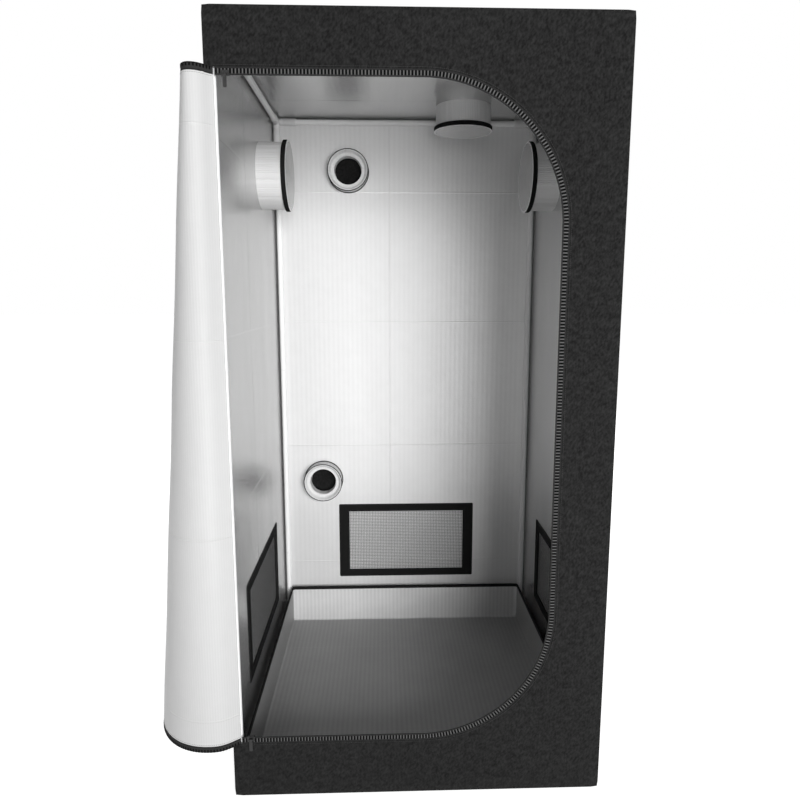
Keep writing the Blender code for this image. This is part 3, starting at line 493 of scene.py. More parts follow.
def new_piece(mesh, finishes, body, stands_for=()):
    """Put a finished mesh on its body, with its finishes and the nodes that it stands for."""
    piece = bpy.data.objects.new(mesh.name, mesh)
    workshop.objects.link(piece)
    for finish in finishes:
        if finish.name not in mesh.materials:
            mesh.materials.append(finish)
    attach(piece, body)
    if stands_for:
        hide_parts(*stands_for)
    return piece


def closed_mesh(name, points, faces, corner_places, smooth_angle=40.0, finish_of_face=None):
    """Closed mesh with its flat cloth places, faces outwards and sharp only at real edges."""
    mesh = bpy.data.meshes.new(name)
    mesh.from_pydata([tuple(point) for point in points], [], [tuple(face) for face in faces])
    flat = mesh.uv_layers.new(name="cloth")
    flat.data.foreach_set("uv", np.asarray(corner_places, dtype=np.float32).ravel())
    if finish_of_face is not None:
        mesh.polygons.foreach_set("material_index", np.asarray(finish_of_face, dtype=np.int32))
    shape = bmesh.new()
    shape.from_mesh(mesh)
    if shape.calc_volume(signed=True) < 0:
        bmesh.ops.reverse_faces(shape, faces=shape.faces)
    shape.to_mesh(mesh)
    shape.free()
    mesh.shade_smooth()
    mesh.set_sharp_from_angle(angle=math.radians(smooth_angle))
    return mesh


def two_faced(name, face_points, back_points, faces, places, finishes_apart=False):
    """Closed sheet between a face and a back that share one pattern of faces."""
    count = len(face_points)
    points = np.vstack([face_points, back_points])
    edges = dict.fromkeys(pair for face in faces for pair in zip(face, (*face[1:], face[0])))
    rims = [
        (end, start, start + count, end + count)
        for start, end in edges if (end, start) not in edges
    ]
    backs = [tuple(corner + count for corner in reversed(face)) for face in faces]
    whole = [*faces, *backs, *rims]
    both = np.vstack([places, places])
    corners = np.concatenate([np.asarray(face) for face in whole])
    which = None
    if finishes_apart:
        which = [0] * len(faces) + [1] * len(backs) + [0] * len(rims)
    return closed_mesh(name, points, whole, both[corners], finish_of_face=which)


def evenly(points, spacing, closed=True):
    """Points along a polyline with none further apart than the spacing."""
    dense = []
    ends = list(zip(points, points[1:] + points[:1])) if closed else list(zip(points, points[1:]))
    for start, end in ends:
        start, end = np.asarray(start, float), np.asarray(end, float)
        pieces = max(1, math.ceil(np.linalg.norm(end - start) / spacing))
        dense += [tuple(start + (end - start) * step / pieces) for step in range(pieces)]
    if not closed:
        dense.append(tuple(points[-1]))
    return dense


def inside_loops(points, loops):
    """Which points lie inside a closed flat loop, the first, and outside its holes, the rest."""
    inside = np.zeros(len(points), bool)
    x, y = points[:, 0], points[:, 1]
    for loop in loops:
        for (x1, y1), (x2, y2) in zip(loop, np.roll(loop, -1, axis=0)):
            if y1 != y2:
                crossing = (y1 > y) != (y2 > y)
                inside ^= crossing & (x < (x2 - x1) * (y - y1) / (y2 - y1) + x1)
    return inside


def pattern(outline, holes, cell, cell_along=None):
    """Flat pattern piece: triangles that fill an outline round its holes, on a regular grid.

    Gives the points, the faces and each point's distance to the nearest edge.
    """
    stretch = np.array((1.0, cell / (cell_along or cell)))
    loops = [evenly([tuple(np.multiply(point, stretch)) for point in loop], cell)
             for loop in (outline, *holes)]
    corners = np.asarray(loops[0])
    low, high = corners.min(axis=0), corners.max(axis=0)
    count = np.maximum(2, np.ceil((high - low) / cell).astype(int))
    grid_u = np.linspace(low[0], high[0], count[0] + 1)[1:-1]
    grid_v = np.linspace(low[1], high[1], count[1] + 1)[1:-1]
    grid = np.stack(np.meshgrid(grid_u, grid_v), axis=-1).reshape(-1, 2)
    border = np.asarray([point for loop in loops for point in loop])
    keep = inside_loops(grid, loops) & (nearest_apart(grid, border) > 0.45 * cell)
    points = [Vector(point) for point in border] + [Vector(point) for point in grid[keep]]
    edges = []
    start = 0
    for loop in loops:
        last = start + len(loop) - 1
        edges += [(index, index + 1) for index in range(start, last)] + [(last, start)]
        start = last + 1
    found = delaunay_2d_cdt(points, edges, [], 0, 1e-7)
    flat = np.asarray([tuple(point) for point in found[0]])
    faces = np.asarray([tuple(face) for face in found[2]])
    wanted = inside_loops(flat[faces].mean(axis=1), loops)
    flat /= stretch
    return flat, [tuple(face) for face in faces[wanted]], nearest_apart(flat, border / stretch)


def nearest_apart(points, others):
    """Distance from each flat point to the nearest of some others."""
    least = np.full(len(points), np.inf)
    for start in range(0, len(others), 300):
        apart = points[:, None] - others[None, start:start + 300]
        least = np.minimum(least, np.sqrt((apart ** 2).sum(axis=2)).min(axis=1))
    return least


def arc(centre, radius, start, end, steps):
    """Points on an arc in a plane, angles in degrees."""
    angles = np.radians(np.linspace(start, end, steps + 1))
    return [(centre[0] + radius * math.cos(a), centre[1] + radius * math.sin(a)) for a in angles]


def circle(centre, radius, steps):
    return arc(centre, radius, 0, 360, steps)[:-1]


def rectangle(centre, half):
    (u, v), (a, b) = centre, half
    return [(u - a, v - b), (u + a, v - b), (u + a, v + b), (u - a, v + b)]


def rounded_rectangle(centre, half, radius, steps=5):
    (u, v), (a, b) = centre, (half[0] - radius, half[1] - radius)
    corners = ((u + a, v + b, 0), (u - a, v + b, 90), (u - a, v - b, 180), (u + a, v - b, 270))
    points = []
    for cu, cv, start in corners:
        points += arc((cu, cv), radius, start, start + 90, steps)
    return points


def outward_of(loop):
    """Outward direction at each point of a closed flat loop."""
    forward = np.roll(loop, -1, axis=0) - np.roll(loop, 1, axis=0)
    forward /= np.linalg.norm(forward, axis=1)[:, None]
    return np.column_stack([forward[:, 1], -forward[:, 0]])


def smooth_step(value, low, high):
    share = np.clip((value - low) / (high - low), 0.0, 1.0)
    return share * share * (3 - 2 * share)


def ring_sheet(name, rings, segments, origin, axis, closed, wave=None, smooth_angle=40.0,
               first_rings=0):
    """Turned piece about an axis, from (radius, height) rings; a radius of 0 closes a pole.

    The wave gives each ring point's own change of radius from its angle and ring number. The
    first rings take the piece's second finish.
    """
    origin, axis = np.asarray(origin, float), np.asarray(axis, float)
    up = np.array((0.0, 0.0, 1.0)) if abs(axis[2]) < 0.5 else np.array((0.0, 1.0, 0.0))
    side = np.cross(axis, up)
    angles = np.linspace(0, 2 * math.pi, segments, endpoint=False)
    points, starts = [], []
    for number, (radius, height) in enumerate(rings):
        starts.append(len(points))
        if radius == 0:
            points.append(origin + axis * height)
            continue
        for angle in angles:
            own = radius + (wave(angle, number) if wave else 0.0)
            spoke = up * math.cos(angle) + side * math.sin(angle)
            points.append(origin + spoke * own + axis * height)
    steps = [0.0]
    for (r1, h1), (r2, h2) in zip(rings, rings[1:]):
        steps.append(steps[-1] + math.hypot(r2 - r1, h2 - h1))
    girth = 2 * math.pi * max(radius for radius, height in rings)
    pairs = list(zip(range(len(rings)), range(1, len(rings))))
    if closed:
        pairs.append((len(rings) - 1, 0))
    faces, places, which = [], [], []
    for first, second in pairs:
        which += [int(first < first_rings)] * segments
        first_v, second_v = steps[first], steps[second] if second else steps[-1] + 0.001
        for segment in range(segments):
            after = (segment + 1) % segments
            u1, u2 = girth * segment / segments, girth * (segment + 1) / segments
            a, b = starts[first], starts[second]
            if rings[first][0] == 0:
                faces.append((a, b + after, b + segment))
                places += [(u1, first_v), (u2, second_v), (u1, second_v)]
            elif rings[second][0] == 0:
                faces.append((a + segment, a + after, b))
                places += [(u1, first_v), (u2, first_v), (u1, second_v)]
            else:
                faces.append((a + segment, a + after, b + after, b + segment))
                places += [(u1, first_v), (u2, first_v), (u2, second_v), (u1, second_v)]
    return closed_mesh(name, points, faces, places, smooth_angle, which)


def lengths_along(path, closed=False):
    """Length from a path's start to each point, and on to its start again if it is closed."""
    ends = np.vstack([path, path[:1]]) if closed else path
    return np.concatenate([[0.0], np.cumsum(np.linalg.norm(np.diff(ends, axis=0), axis=1))])


def banded(name, points, lengths, across, closed, smooth_angle):
    """Closed mesh over rows of points, one row for each length, capped where it ends."""
    width = len(across)
    count = len(points) // width
    faces, places = [], []
    for step in range(count if closed else count - 1):
        after = (step + 1) % count
        for corner in range(width):
            other = (corner + 1) % width
            faces.append((
                step * width + corner, step * width + other,
                after * width + other, after * width + corner,
            ))
            places += [
                (lengths[step], across[corner]), (lengths[step], across[other]),
                (lengths[step + 1], across[other]), (lengths[step + 1], across[corner]),
            ]
    if not closed:
        for step, order in ((0, range(width - 1, -1, -1)), (count - 1, range(width))):
            faces.append(tuple(step * width + corner for corner in order))
            places += [(lengths[step], across[corner]) for corner in order]
    return closed_mesh(name, points, faces, places, smooth_angle)


def swept(name, path, acrosses, uprights, profile, closed):
    """Band that follows a path, with its profile in (across, upright) at each point."""
    path, profile = np.asarray(path, float), np.asarray(profile, float)
    acrosses, uprights = (np.broadcast_to(given, path.shape) for given in (acrosses, uprights))
    points = (
        path[:, None]
        + acrosses[:, None] * profile[None, :, 0, None]
        + uprights[:, None] * profile[None, :, 1, None]
    ).reshape(-1, 3)
    return banded(name, points, lengths_along(path, closed), profile[:, 0], closed, 30.0)


# Rows of small parts along a path

class PartsTree:
    """Geometry Nodes tree with named inputs, and a short way to add its nodes."""

    def __init__(self, name, inputs):
        self.tree = bpy.data.node_groups.new(name, "GeometryNodeTree")
        new_socket = self.tree.interface.new_socket
        self.identifiers = {
            key: new_socket(name=key, in_out="INPUT", socket_type=f"NodeSocket{kind}").identifier
            for key, kind in inputs.items()
        }
        new_socket(name="Geometry", in_out="OUTPUT", socket_type="NodeSocketGeometry")
        self.given = self.tree.nodes.new("NodeGroupInput").outputs
        self.result = self.tree.nodes.new("NodeGroupOutput").inputs[0]

    def add(self, kind, settings=None, **sockets):
        made = self.tree.nodes.new(kind)
        for key, value in (settings or {}).items():
            setattr(made, key, value)
        for key, value in sockets.items():
            self.feed(made.inputs[key.replace("_", " ")], value)
        return made.outputs

    def feed(self, socket, value):
        if isinstance(value, bpy.types.NodeSocket):
            self.tree.links.new(value, socket)
        else:
            socket.default_value = value

    def maths(self, operation, first, second):
        made = self.tree.nodes.new("ShaderNodeMath")
        made.operation = operation
        for socket, value in zip(made.inputs, (first, second)):
            self.feed(socket, value)
        return made.outputs[0]

    def end(self, geometry):
        """Plain geometry with the given finish, as the tree's result."""
        plain = self.add("GeometryNodeRealizeInstances", Geometry=geometry)["Geometry"]
        finish = self.given["Finish"]
        finished = self.add("GeometryNodeSetMaterial", Geometry=plain, Material=finish)
        self.tree.links.new(finished["Geometry"], self.result)

    def make(self, name, base, values):
        """Plain mesh that the tree gives for a base mesh and its named values."""
        holder = bpy.data.objects.new(name, base)
        workshop.objects.link(holder)
        modifier = holder.modifiers.new(name, "NODES")
        modifier.node_group = self.tree
        for key, value in values.items():
            modifier[self.identifiers[key]] = value
        graph = bpy.context.evaluated_depsgraph_get()
        mesh = bpy.data.meshes.new_from_object(holder.evaluated_get(graph))
        holder.modifiers.remove(modifier)
        bpy.data.objects.remove(holder)
        mesh.name = name
        return mesh


def row_tree():
    """Small chamfered blocks set along a path: zip teeth and stitches."""
    tree = PartsTree("row_of_blocks", {
        "Geometry": "Geometry", "Pitch": "Float", "Block": "Vector", "Chamfer": "Float",
        "Finish": "Material",
    })
    given = tree.given
    line = tree.add("GeometryNodeMeshToCurve", Mesh=given["Geometry"])["Curve"]
    evened = tree.add(
        "GeometryNodeResampleCurve", {"mode": "LENGTH"}, Curve=line, Length=given["Pitch"]
    )["Curve"]
    block = tree.add("GeometryNodeMeshCube", Size=given["Block"])["Mesh"]
    upward = tree.add("ShaderNodeSeparateXYZ", Vector=tree.add("GeometryNodeInputNormal")[0])[2]
    top = tree.add("ShaderNodeMath", {"operation": "GREATER_THAN"}, Value=upward)[0]
    raised = tree.add(
        "GeometryNodeExtrudeMesh", Mesh=block, Selection=top, Offset_Scale=given["Chamfer"]
    )
    chamfered = tree.add(
        "GeometryNodeScaleElements", Geometry=raised["Mesh"], Selection=raised["Top"], Scale=0.72
    )["Geometry"]
    facing = tree.add(
        "GeometryNodeInputNamedAttribute", {"data_type": "FLOAT_VECTOR"}, Name="facing"
    )["Attribute"]
    turn = tree.add(
        "FunctionNodeAxesToRotation", {"primary_axis": "Z", "secondary_axis": "X"},
        Primary_Axis=facing, Secondary_Axis=tree.add("GeometryNodeInputTangent")[0],
    )["Rotation"]
    tree.end(tree.add(
        "GeometryNodeInstanceOnPoints", Points=evened, Instance=chamfered, Rotation=turn
    )["Instances"])
    return tree


def net_tree():
    """Crossing strands of a flat net, the uprights behind and the cross strands in front."""
    tree = PartsTree("vent_net", {
        "Geometry": "Geometry", "Width": "Float", "Height": "Float", "Pitch": "Float",
        "Strand": "Float", "Thickness": "Float", "Finish": "Material",
    })
    given, maths = tree.given, tree.maths

    def vector(x, y, z):
        return tree.add("ShaderNodeCombineXYZ", X=x, Y=y, Z=z)[0]

    def strands(span, depth):
        """One family of parallel strands, spread over a span at its own depth."""
        uprights = span == "Width"
        count = maths("ADD", maths("FLOOR", maths("DIVIDE", given[span], given["Pitch"]), 0.0), 1.0)
        gaps = maths("SUBTRACT", count, 1.0)
        start = maths("MULTIPLY", maths("MULTIPLY", given["Pitch"], -0.5), gaps)
        if uprights:
            first, step = vector(start, depth, 0.0), vector(given["Pitch"], 0.0, 0.0)
            size = vector(given["Strand"], given["Thickness"], given["Height"])
        else:
            first, step = vector(0.0, depth, start), vector(0.0, 0.0, given["Pitch"])
            size = vector(given["Width"], given["Thickness"], given["Strand"])
        places = tree.add(
            "GeometryNodeMeshLine", Count=count, Start_Location=first, Offset=step
        )["Mesh"]
        strand = tree.add("GeometryNodeMeshCube", Size=size)["Mesh"]
        return tree.add(
            "GeometryNodeInstanceOnPoints", Points=places, Instance=strand
        )["Instances"]

    layer = maths("MULTIPLY", given["Thickness"], 0.45)
    families = [strands("Width", layer), strands("Height", maths("MULTIPLY", layer, -1.0))]
    join = tree.tree.nodes.new("GeometryNodeJoinGeometry")
    for family in families:
        tree.tree.links.new(family, join.inputs[0])
    tree.end(join.outputs[0])
    return tree


ROW = row_tree()
NET = net_tree()


def path_mesh(path, facings, closed=False):
    """Polyline with the direction that each point faces, or one direction for them all."""
    mesh = bpy.data.meshes.new("path")
    edges = [(index, index + 1) for index in range(len(path) - 1)]
    if closed:
        edges.append((len(path) - 1, 0))
    mesh.from_pydata([tuple(point) for point in path], edges, [])
    facing = mesh.attributes.new("facing", "FLOAT_VECTOR", "POINT")
    facings = np.broadcast_to(facings, (len(path), 3)).astype(np.float32)
    facing.data.foreach_set("vector", facings.ravel())
    return mesh


def row_piece(name, path, facings, pitch, block, chamfer, finish, body, closed=False):
    values = {"Pitch": pitch, "Block": block, "Chamfer": chamfer, "Finish": finish}
    mesh = ROW.make(name, path_mesh(path, facings, closed), values)
    return new_piece(mesh, [finish], body)


def joined(name, meshes):
    """One mesh from several."""
    shape = bmesh.new()
    for mesh in meshes:
        shape.from_mesh(mesh)
    whole = bpy.data.meshes.new(name)
    shape.to_mesh(whole)
    shape.free()
    return whole


# Cloth skin and its lining

class Side:
    """One side of the rounded box: its flat places, and the point at a depth under each."""

    def __init__(self, middle, across, along, outward, half, along_from):
        self.middle, self.across, self.along, self.outward = (
            np.asarray(value, float) for value in (middle, across, along, outward)
        )
        self.half = half
        self.along_from = along_from

    def outline(self):
        """Whole side as a flat rectangle that reaches half way round each rounded edge."""
        reach = [size - EDGE_ROUND * (1 - math.pi / 4) for size in self.half[:2]]
        return rectangle((0.0, self.along_from), reach)

    def points(self, flat, depth):
        """Points at a depth, or at their own depths, under flat places."""
        places = flat - (0.0, self.along_from)
        straight = np.asarray(self.half[:2]) - EDGE_ROUND
        core = np.clip(places, -straight, straight)
        lean = np.tan((places - core) / EDGE_ROUND)
        ray = np.column_stack([lean, np.ones(len(flat))])
        ray /= np.linalg.norm(ray, axis=1)[:, None]
        ray *= np.broadcast_to(EDGE_ROUND - depth, len(flat))[:, None]
        return (
            self.middle
            + (core[:, :1] + ray[:, :1]) * self.across
            + (core[:, 1:] + ray[:, 1:2]) * self.along
            + (self.half[2] - EDGE_ROUND + ray[:, 2:]) * self.outward
        )


MIDDLE = (0.0, 0.0, HEIGHT / 2)
WALL_HALF = (HALF, HEIGHT / 2, HALF)
SIDES = {
    "front": Side(MIDDLE, (1, 0, 0), (0, 0, 1), (0, -1, 0), WALL_HALF, HEIGHT / 2),
    "back": Side(MIDDLE, (1, 0, 0), (0, 0, 1), (0, 1, 0), WALL_HALF, HEIGHT / 2),
    "left": Side(MIDDLE, (0, 1, 0), (0, 0, 1), (-1, 0, 0), WALL_HALF, HEIGHT / 2),
    "right": Side(MIDDLE, (0, 1, 0), (0, 0, 1), (1, 0, 0), WALL_HALF, HEIGHT / 2),
    "roof": Side(MIDDLE, (1, 0, 0), (0, 1, 0), (0, 0, 1), (HALF, HALF, HEIGHT / 2), 0.0),
    "floor": Side(MIDDLE, (1, 0, 0), (0, 1, 0), (0, 0, -1), (HALF, HALF, HEIGHT / 2), 0.0),
}


def opening_outline(margin, start_x=HINGE_X, steps=CORNER_STEPS):
    """Edge of the D-shaped door opening, moved outwards, from the hinge's top to its bottom."""
    radius = OPENING_CORNER
    centre_x = OPENING_RIGHT - radius
    points = [(start_x, OPENING_TOP + margin)]
    points += arc((centre_x, OPENING_TOP - radius), radius + margin, 90, 0, steps)
    points += arc((centre_x, OPENING_BOTTOM + radius), radius + margin, 0, -90, steps)
    points.append((start_x, OPENING_BOTTOM - margin))
    return points


BACK_HOLES = [
    circle(UPPER_CABLE[:2], UPPER_CABLE[2], 48),
    circle(LOWER_CABLE[:2], LOWER_CABLE[2], 48),
    rectangle((BACK_VENT_X, VENT_Z), NET_HALF),
]
SIDE_HOLES = [
    circle(SIDE_DUCT[:2], SIDE_DUCT[2] + PLY_GAP, 80), rectangle((SIDE_VENT_Y, VENT_Z), NET_HALF),
]
ROOF_HOLES = [circle(ROOF_DUCT[:2], ROOF_DUCT[2] + PLY_GAP, 72)]
SIDE_HOLE_LOOPS = {
    "front": [opening_outline(ZIP_HALF + PLY_GAP)], "back": BACK_HOLES, "left": SIDE_HOLES,
    "right": SIDE_HOLES, "roof": ROOF_HOLES, "floor": [],
}


def slack(flat, edge_distance, salt):
    """Inward sag of stretched cloth, uneven, which dies out towards its seams and holes."""
    u, v = flat[:, 0], flat[:, 1]
    swell = np.sin(2 * math.pi * (u / 0.27 + v / 0.83) + salt)
    swell += np.sin(2 * math.pi * (v / 0.39 - u / 0.64) + 2.3 * salt)
    return SAG * (swell + 2) * smooth_step(edge_distance, *SAG_FADE)


def loop_area(loop):
    points = np.asarray(loop)
    after = np.roll(points, -1, axis=0)
    return abs((points[:, 0] * after[:, 1] - after[:, 0] * points[:, 1]).sum()) / 2


def make_skin():
    """Both plies of every side, each ply one piece for its own node."""
    for number, (name, side) in enumerate(SIDES.items()):
        holes = SIDE_HOLE_LOOPS[name]
        flat, faces, edge_distance = pattern(side.outline(), holes, CLOTH_CELL)
        sag = slack(flat, edge_distance, number * 1.7)
        panel = f"{name}_panel" if name in ("front", "roof", "floor") else f"{name}_wall"
        plies = [("cloth", panel, 0.0, CLOTH, OXFORD)]
        if name != "floor":
            # The back wall takes the lit copy of the lining film and the other sides its shaded
            # copy: painted light and painted shade.
            film = LIT_BACK_FILM if name == "back" else SHADED_FILM
            plies.append(("lining", f"{name}_lining", LINING_DEPTH, LINING, film))
        for slot, node, depth, thickness, finish in plies:
            face = side.points(flat, depth + sag)
            back = side.points(flat, depth + thickness + sag)
            mesh = two_faced(f"{node}_{slot}", face, back, faces, flat)
            piece = new_piece(mesh, [finish], "tent", [node])


# Zip round the opening

def zip_line(margin, start_x):
    """Evened points along the opening's zip, with the outward direction at each."""
    inner = evenly(opening_outline(margin, start_x), ZIP_PATH_STEP, closed=False)
    outer = []
    centre_x = OPENING_RIGHT - OPENING_CORNER
    high, low = OPENING_TOP - OPENING_CORNER, OPENING_BOTTOM + OPENING_CORNER
    for x, z in inner:
        centre = np.array((min(x, centre_x), min(max(z, low), high)))
        away = np.array((x, z)) - centre
        outer.append(away / np.linalg.norm(away))
    return np.asarray(inner), np.asarray(outer)


def upright_plane(flat, level):
    """Points in the front's plane from flat (x, z) places."""
    return np.column_stack([flat[:, 0], np.full(len(flat), level), flat[:, 1]])


def make_opening_zip():
    """Tape sewn round the opening, its row of teeth and its seam in the cloth."""
    line, away = zip_line(0.0, ZIP_START)
    path = upright_plane(line, ZIP_LEVEL)
    outward = SIDES["front"].outward
    edge = ZIP_HALF
    band = [
        (-edge, 0.0002), (-edge + 0.0004, -0.0002), (edge - 0.0004, -0.0002), (edge, 0.0002),
        (edge, 0.0014), (edge - 0.0003, 0.0018), (edge - 0.0013, 0.0018), (edge - 0.0017, 0.0014),
        (-edge + 0.0017, 0.0014), (-edge + 0.0013, 0.0018), (-edge + 0.0003, 0.0018),
        (-edge, 0.0014),
    ]
    tape = swept("opening_zip_tape", path, upright_plane(away, 0.0), outward, band, closed=False)
    band = new_piece(tape, [ZIP_TAPE], "tent", ["door_zip_chain"])
    line, _ = zip_line(0.0, ZIP_START + 0.003)
    teeth = row_piece(
        "opening_zip_teeth", upright_plane(line, TOOTH_LEVEL), outward, TOOTH_PITCH,
        OPENING_TOOTH, 0.0003, TOOTH_PLASTIC, "tent",
    )
    line, _ = zip_line(ZIP_HALF + OPENING_SEAM_AWAY, HINGE_X + 0.004)
    stitches = row_piece(
        "opening_seam_stitches", upright_plane(line, SEAM_LEVEL), outward, ZIP_SEAM_PITCH,
        STITCH, 0.0001, BLACK_THREAD, "tent",
    )


# Rolled door

def sized_at(sizes, height):
    """Size of the roll at a height, from its top and bottom ones."""
    share = (OPENING_TOP - height) / (OPENING_TOP - OPENING_BOTTOM)
    return sizes[0] + (sizes[1] - sizes[0]) * share


def roll_quarter(turn, height):
    """Plan points of the roll, one quarter of a turn for each 1 from its apex at the front."""
    quarter = np.floor(turn).astype(int) % 4
    share = turn - np.floor(turn)
    inset = sized_at(ROLL_TURN_GAP, height) * turn / 4
    left_x = -HALF - sized_at(ROLL_LEFT, height)
    right_x = -HALF - ROLL_CLEARANCE
    front_y = -HALF - ROLL_PROUD
    side_x = np.where(quarter >= 2, right_x - inset, left_x + inset)
    side_y = front_y + sized_at(ROLL_FRONT_ROUND, height)
    from_side = np.where(quarter % 2 == 1, share, 1 - share)
    straight = sized_at(ROLL_STRAIGHT, height)
    at_front = (quarter == 0) | (quarter == 3)
    tip_x = np.where(at_front, HINGE_X - sized_at(ROLL_APEX, height), (left_x + right_x) / 2)
    tip_y = np.where(
        at_front, front_y + inset, side_y + straight + sized_at(ROLL_BACK_ROUND, height) - inset
    )
    along_straight = straight * np.minimum(from_side / ROLL_STRAIGHT_SHARE, 1)
    past_straight = np.maximum(from_side - ROLL_STRAIGHT_SHARE, 0) / (1 - ROLL_STRAIGHT_SHARE)
    side_y = np.where(at_front, side_y, side_y + along_straight)
    angle = np.where(at_front, from_side, past_straight) * math.pi / 2
    return np.stack([
        side_x + (tip_x - side_x) * (1 - np.cos(angle)),
        side_y + (tip_y - side_y) * np.sin(angle),
    ], axis=-1)


def roll_line(turn, height):
    """Plan points of the door's middle line; turns under 0 lead from the hinge to the apex."""
    turn, height = np.broadcast_arrays(np.asarray(turn, float), np.asarray(height, float))
    rolled = roll_quarter(np.maximum(turn, 0.0), height)
    hinge = np.array((HINGE_X, HINGE_Y))
    apex = roll_quarter(np.zeros_like(height), height)
    reach = (hinge[0] - apex[..., 0]) / 2
    slope = np.array((math.cos(ROLL_SEED), math.sin(ROLL_SEED)))
    seed = hinge - slope * reach[..., None]
    early = apex + np.stack([reach, np.zeros_like(reach)], axis=-1)
    share = np.clip(turn + 1, 0.0, 1.0)[..., None]
    rest = 1 - share
    lead = (
        hinge * rest ** 3 + seed * 3 * rest ** 2 * share
        + early * 3 * rest * share ** 2 + apex * share ** 3
    )
    return np.where((turn < 0)[..., None], lead, rolled)


def roll_points(turn, height, offset):
    """Points of the rolled door, moved outwards across the cloth by an offset."""
    here = roll_line(turn, height)
    forward = roll_line(turn + 0.01, height) - here
    backward = here - roll_line(turn - 0.01, height)
    ahead = np.where((turn < 1)[..., None], forward, backward)
    ahead /= np.linalg.norm(ahead, axis=-1)[..., None]
    outward = np.stack([-ahead[..., 1], ahead[..., 0]], axis=-1)
    plan = here + outward * np.asarray(offset)[..., None]
    return np.column_stack([plan, height])


def turn_at(lengths, heights):
    """Turn of the roll at each cloth length from the hinge and height."""
    turns = np.concatenate([np.linspace(-1, 0, 60, endpoint=False), np.linspace(0, 9, 541)])
    found = np.empty(len(lengths))
    for height in np.unique(np.round(heights, 6)):
        here = np.abs(heights - height) < 1e-6
        found[here] = np.interp(lengths[here], lengths_along(roll_line(turns, height)), turns)
    return found


def door_points(flat, offset):
    """Places in the rolled door of its cloth's flat (x, z) places, moved out by an offset."""
    flat = np.round(flat, 6)
    lengths = np.maximum(flat[:, 0] - HINGE_X, 0.0)
    turns = turn_at(lengths, flat[:, 1])
    swell = 0.0005 * np.sin(2 * math.pi * (flat[:, 1] / 0.31 + lengths / 0.45))
    swell *= smooth_step(lengths, 0.01, 0.08)
    return roll_points(turns, flat[:, 1], offset + swell)


def make_door():
    """Both plies of the rolled door, with its edge tape, teeth and seam."""
    outline = opening_outline(-ZIP_HALF, steps=DOOR_CORNER_STEPS)
    flat, faces, _ = pattern(outline, [], *DOOR_CELL)
    area = loop_area(opening_outline(0.0, steps=DOOR_CORNER_STEPS))
    for name, finish, slot, outer, thickness in (
        ("door_lining", DOOR_FILM, "lining", DOOR_LINING_OUT, LINING),
        ("door_cloth", OXFORD, "cloth", DOOR_CLOTH_OUT, CLOTH),
    ):
        face, back = door_points(flat, outer), door_points(flat, outer - thickness)
        mesh = two_faced(f"rolled_{name}", face, back, faces, flat)
        new_piece(mesh, [finish], "door", [name])

    tape = door_strip("door_edge_tape", -ZIP_HALF + 0.0012, ZIP_HALF, DOOR_TAPE_OUT)
    band = new_piece(tape, [DOOR_TAPE], "door", ["door_zip_tape"])
    path, facing = door_row(0.0034, HINGE_X + 0.006, DOOR_TAPE_OUT)
    teeth = row_piece(
        "door_zip_teeth", path, facing, TOOTH_PITCH, DOOR_TOOTH, 0.0004, TOOTH_PLASTIC, "door",
    )
    path, facing = door_row(-ZIP_HALF - DOOR_SEAM_AWAY, HINGE_X + 0.004, DOOR_SEAM_OUT)
    stitches = row_piece(
        "door_seam_stitches", path, facing, ZIP_SEAM_PITCH, STITCH, 0.0001, GREY_THREAD, "door",
    )


def door_row(margin, start_x, offset):
    """Path along the rolled door's edge, that far out of its middle line, and its facings."""
    line, _ = zip_line(margin, start_x)
    path = door_points(line, offset)
    return path, (door_points(line, offset + 0.001) - path) * 1000


def door_strip(name, inner, outer, half_thickness):
    """Closed strip along the door's top, free and bottom edges, between two margins."""
    middles, away = zip_line(0.0, HINGE_X)
    profile = (
        (inner, -half_thickness), (outer - 0.0006, -half_thickness), (outer, 0.0),
        (outer - 0.0006, half_thickness), (inner, half_thickness),
    )
    rails = [door_points(middles + away * margin, offset) for margin, offset in profile]
    points = np.stack(rails, axis=1).reshape(-1, 3)
    margins = [margin for margin, _ in profile]
    return banded(name, points, lengths_along(middles), margins, False, 50.0)


# Floor tray

def squared_ring(half, radius, side_steps=44, corner_steps=6):
    """Points round a rounded square."""
    points = []
    for centre_x, centre_y, start in ((1, 1, 0), (-1, 1, 90), (-1, -1, 180), (1, -1, 270)):
        middle = ((half - radius) * centre_x, (half - radius) * centre_y)
        points += arc(middle, radius, start, start + 90, corner_steps)
        last_x, last_y = points[-1]
        step_x, step_y = {0: (-1, 0), 90: (0, -1), 180: (1, 0), 270: (0, 1)}[start]
        run = 2 * (half - radius) / side_steps
        points += [
            (last_x + step_x * run * step, last_y + step_y * run * step)
            for step in range(1, side_steps)
        ]
    return np.asarray(points)


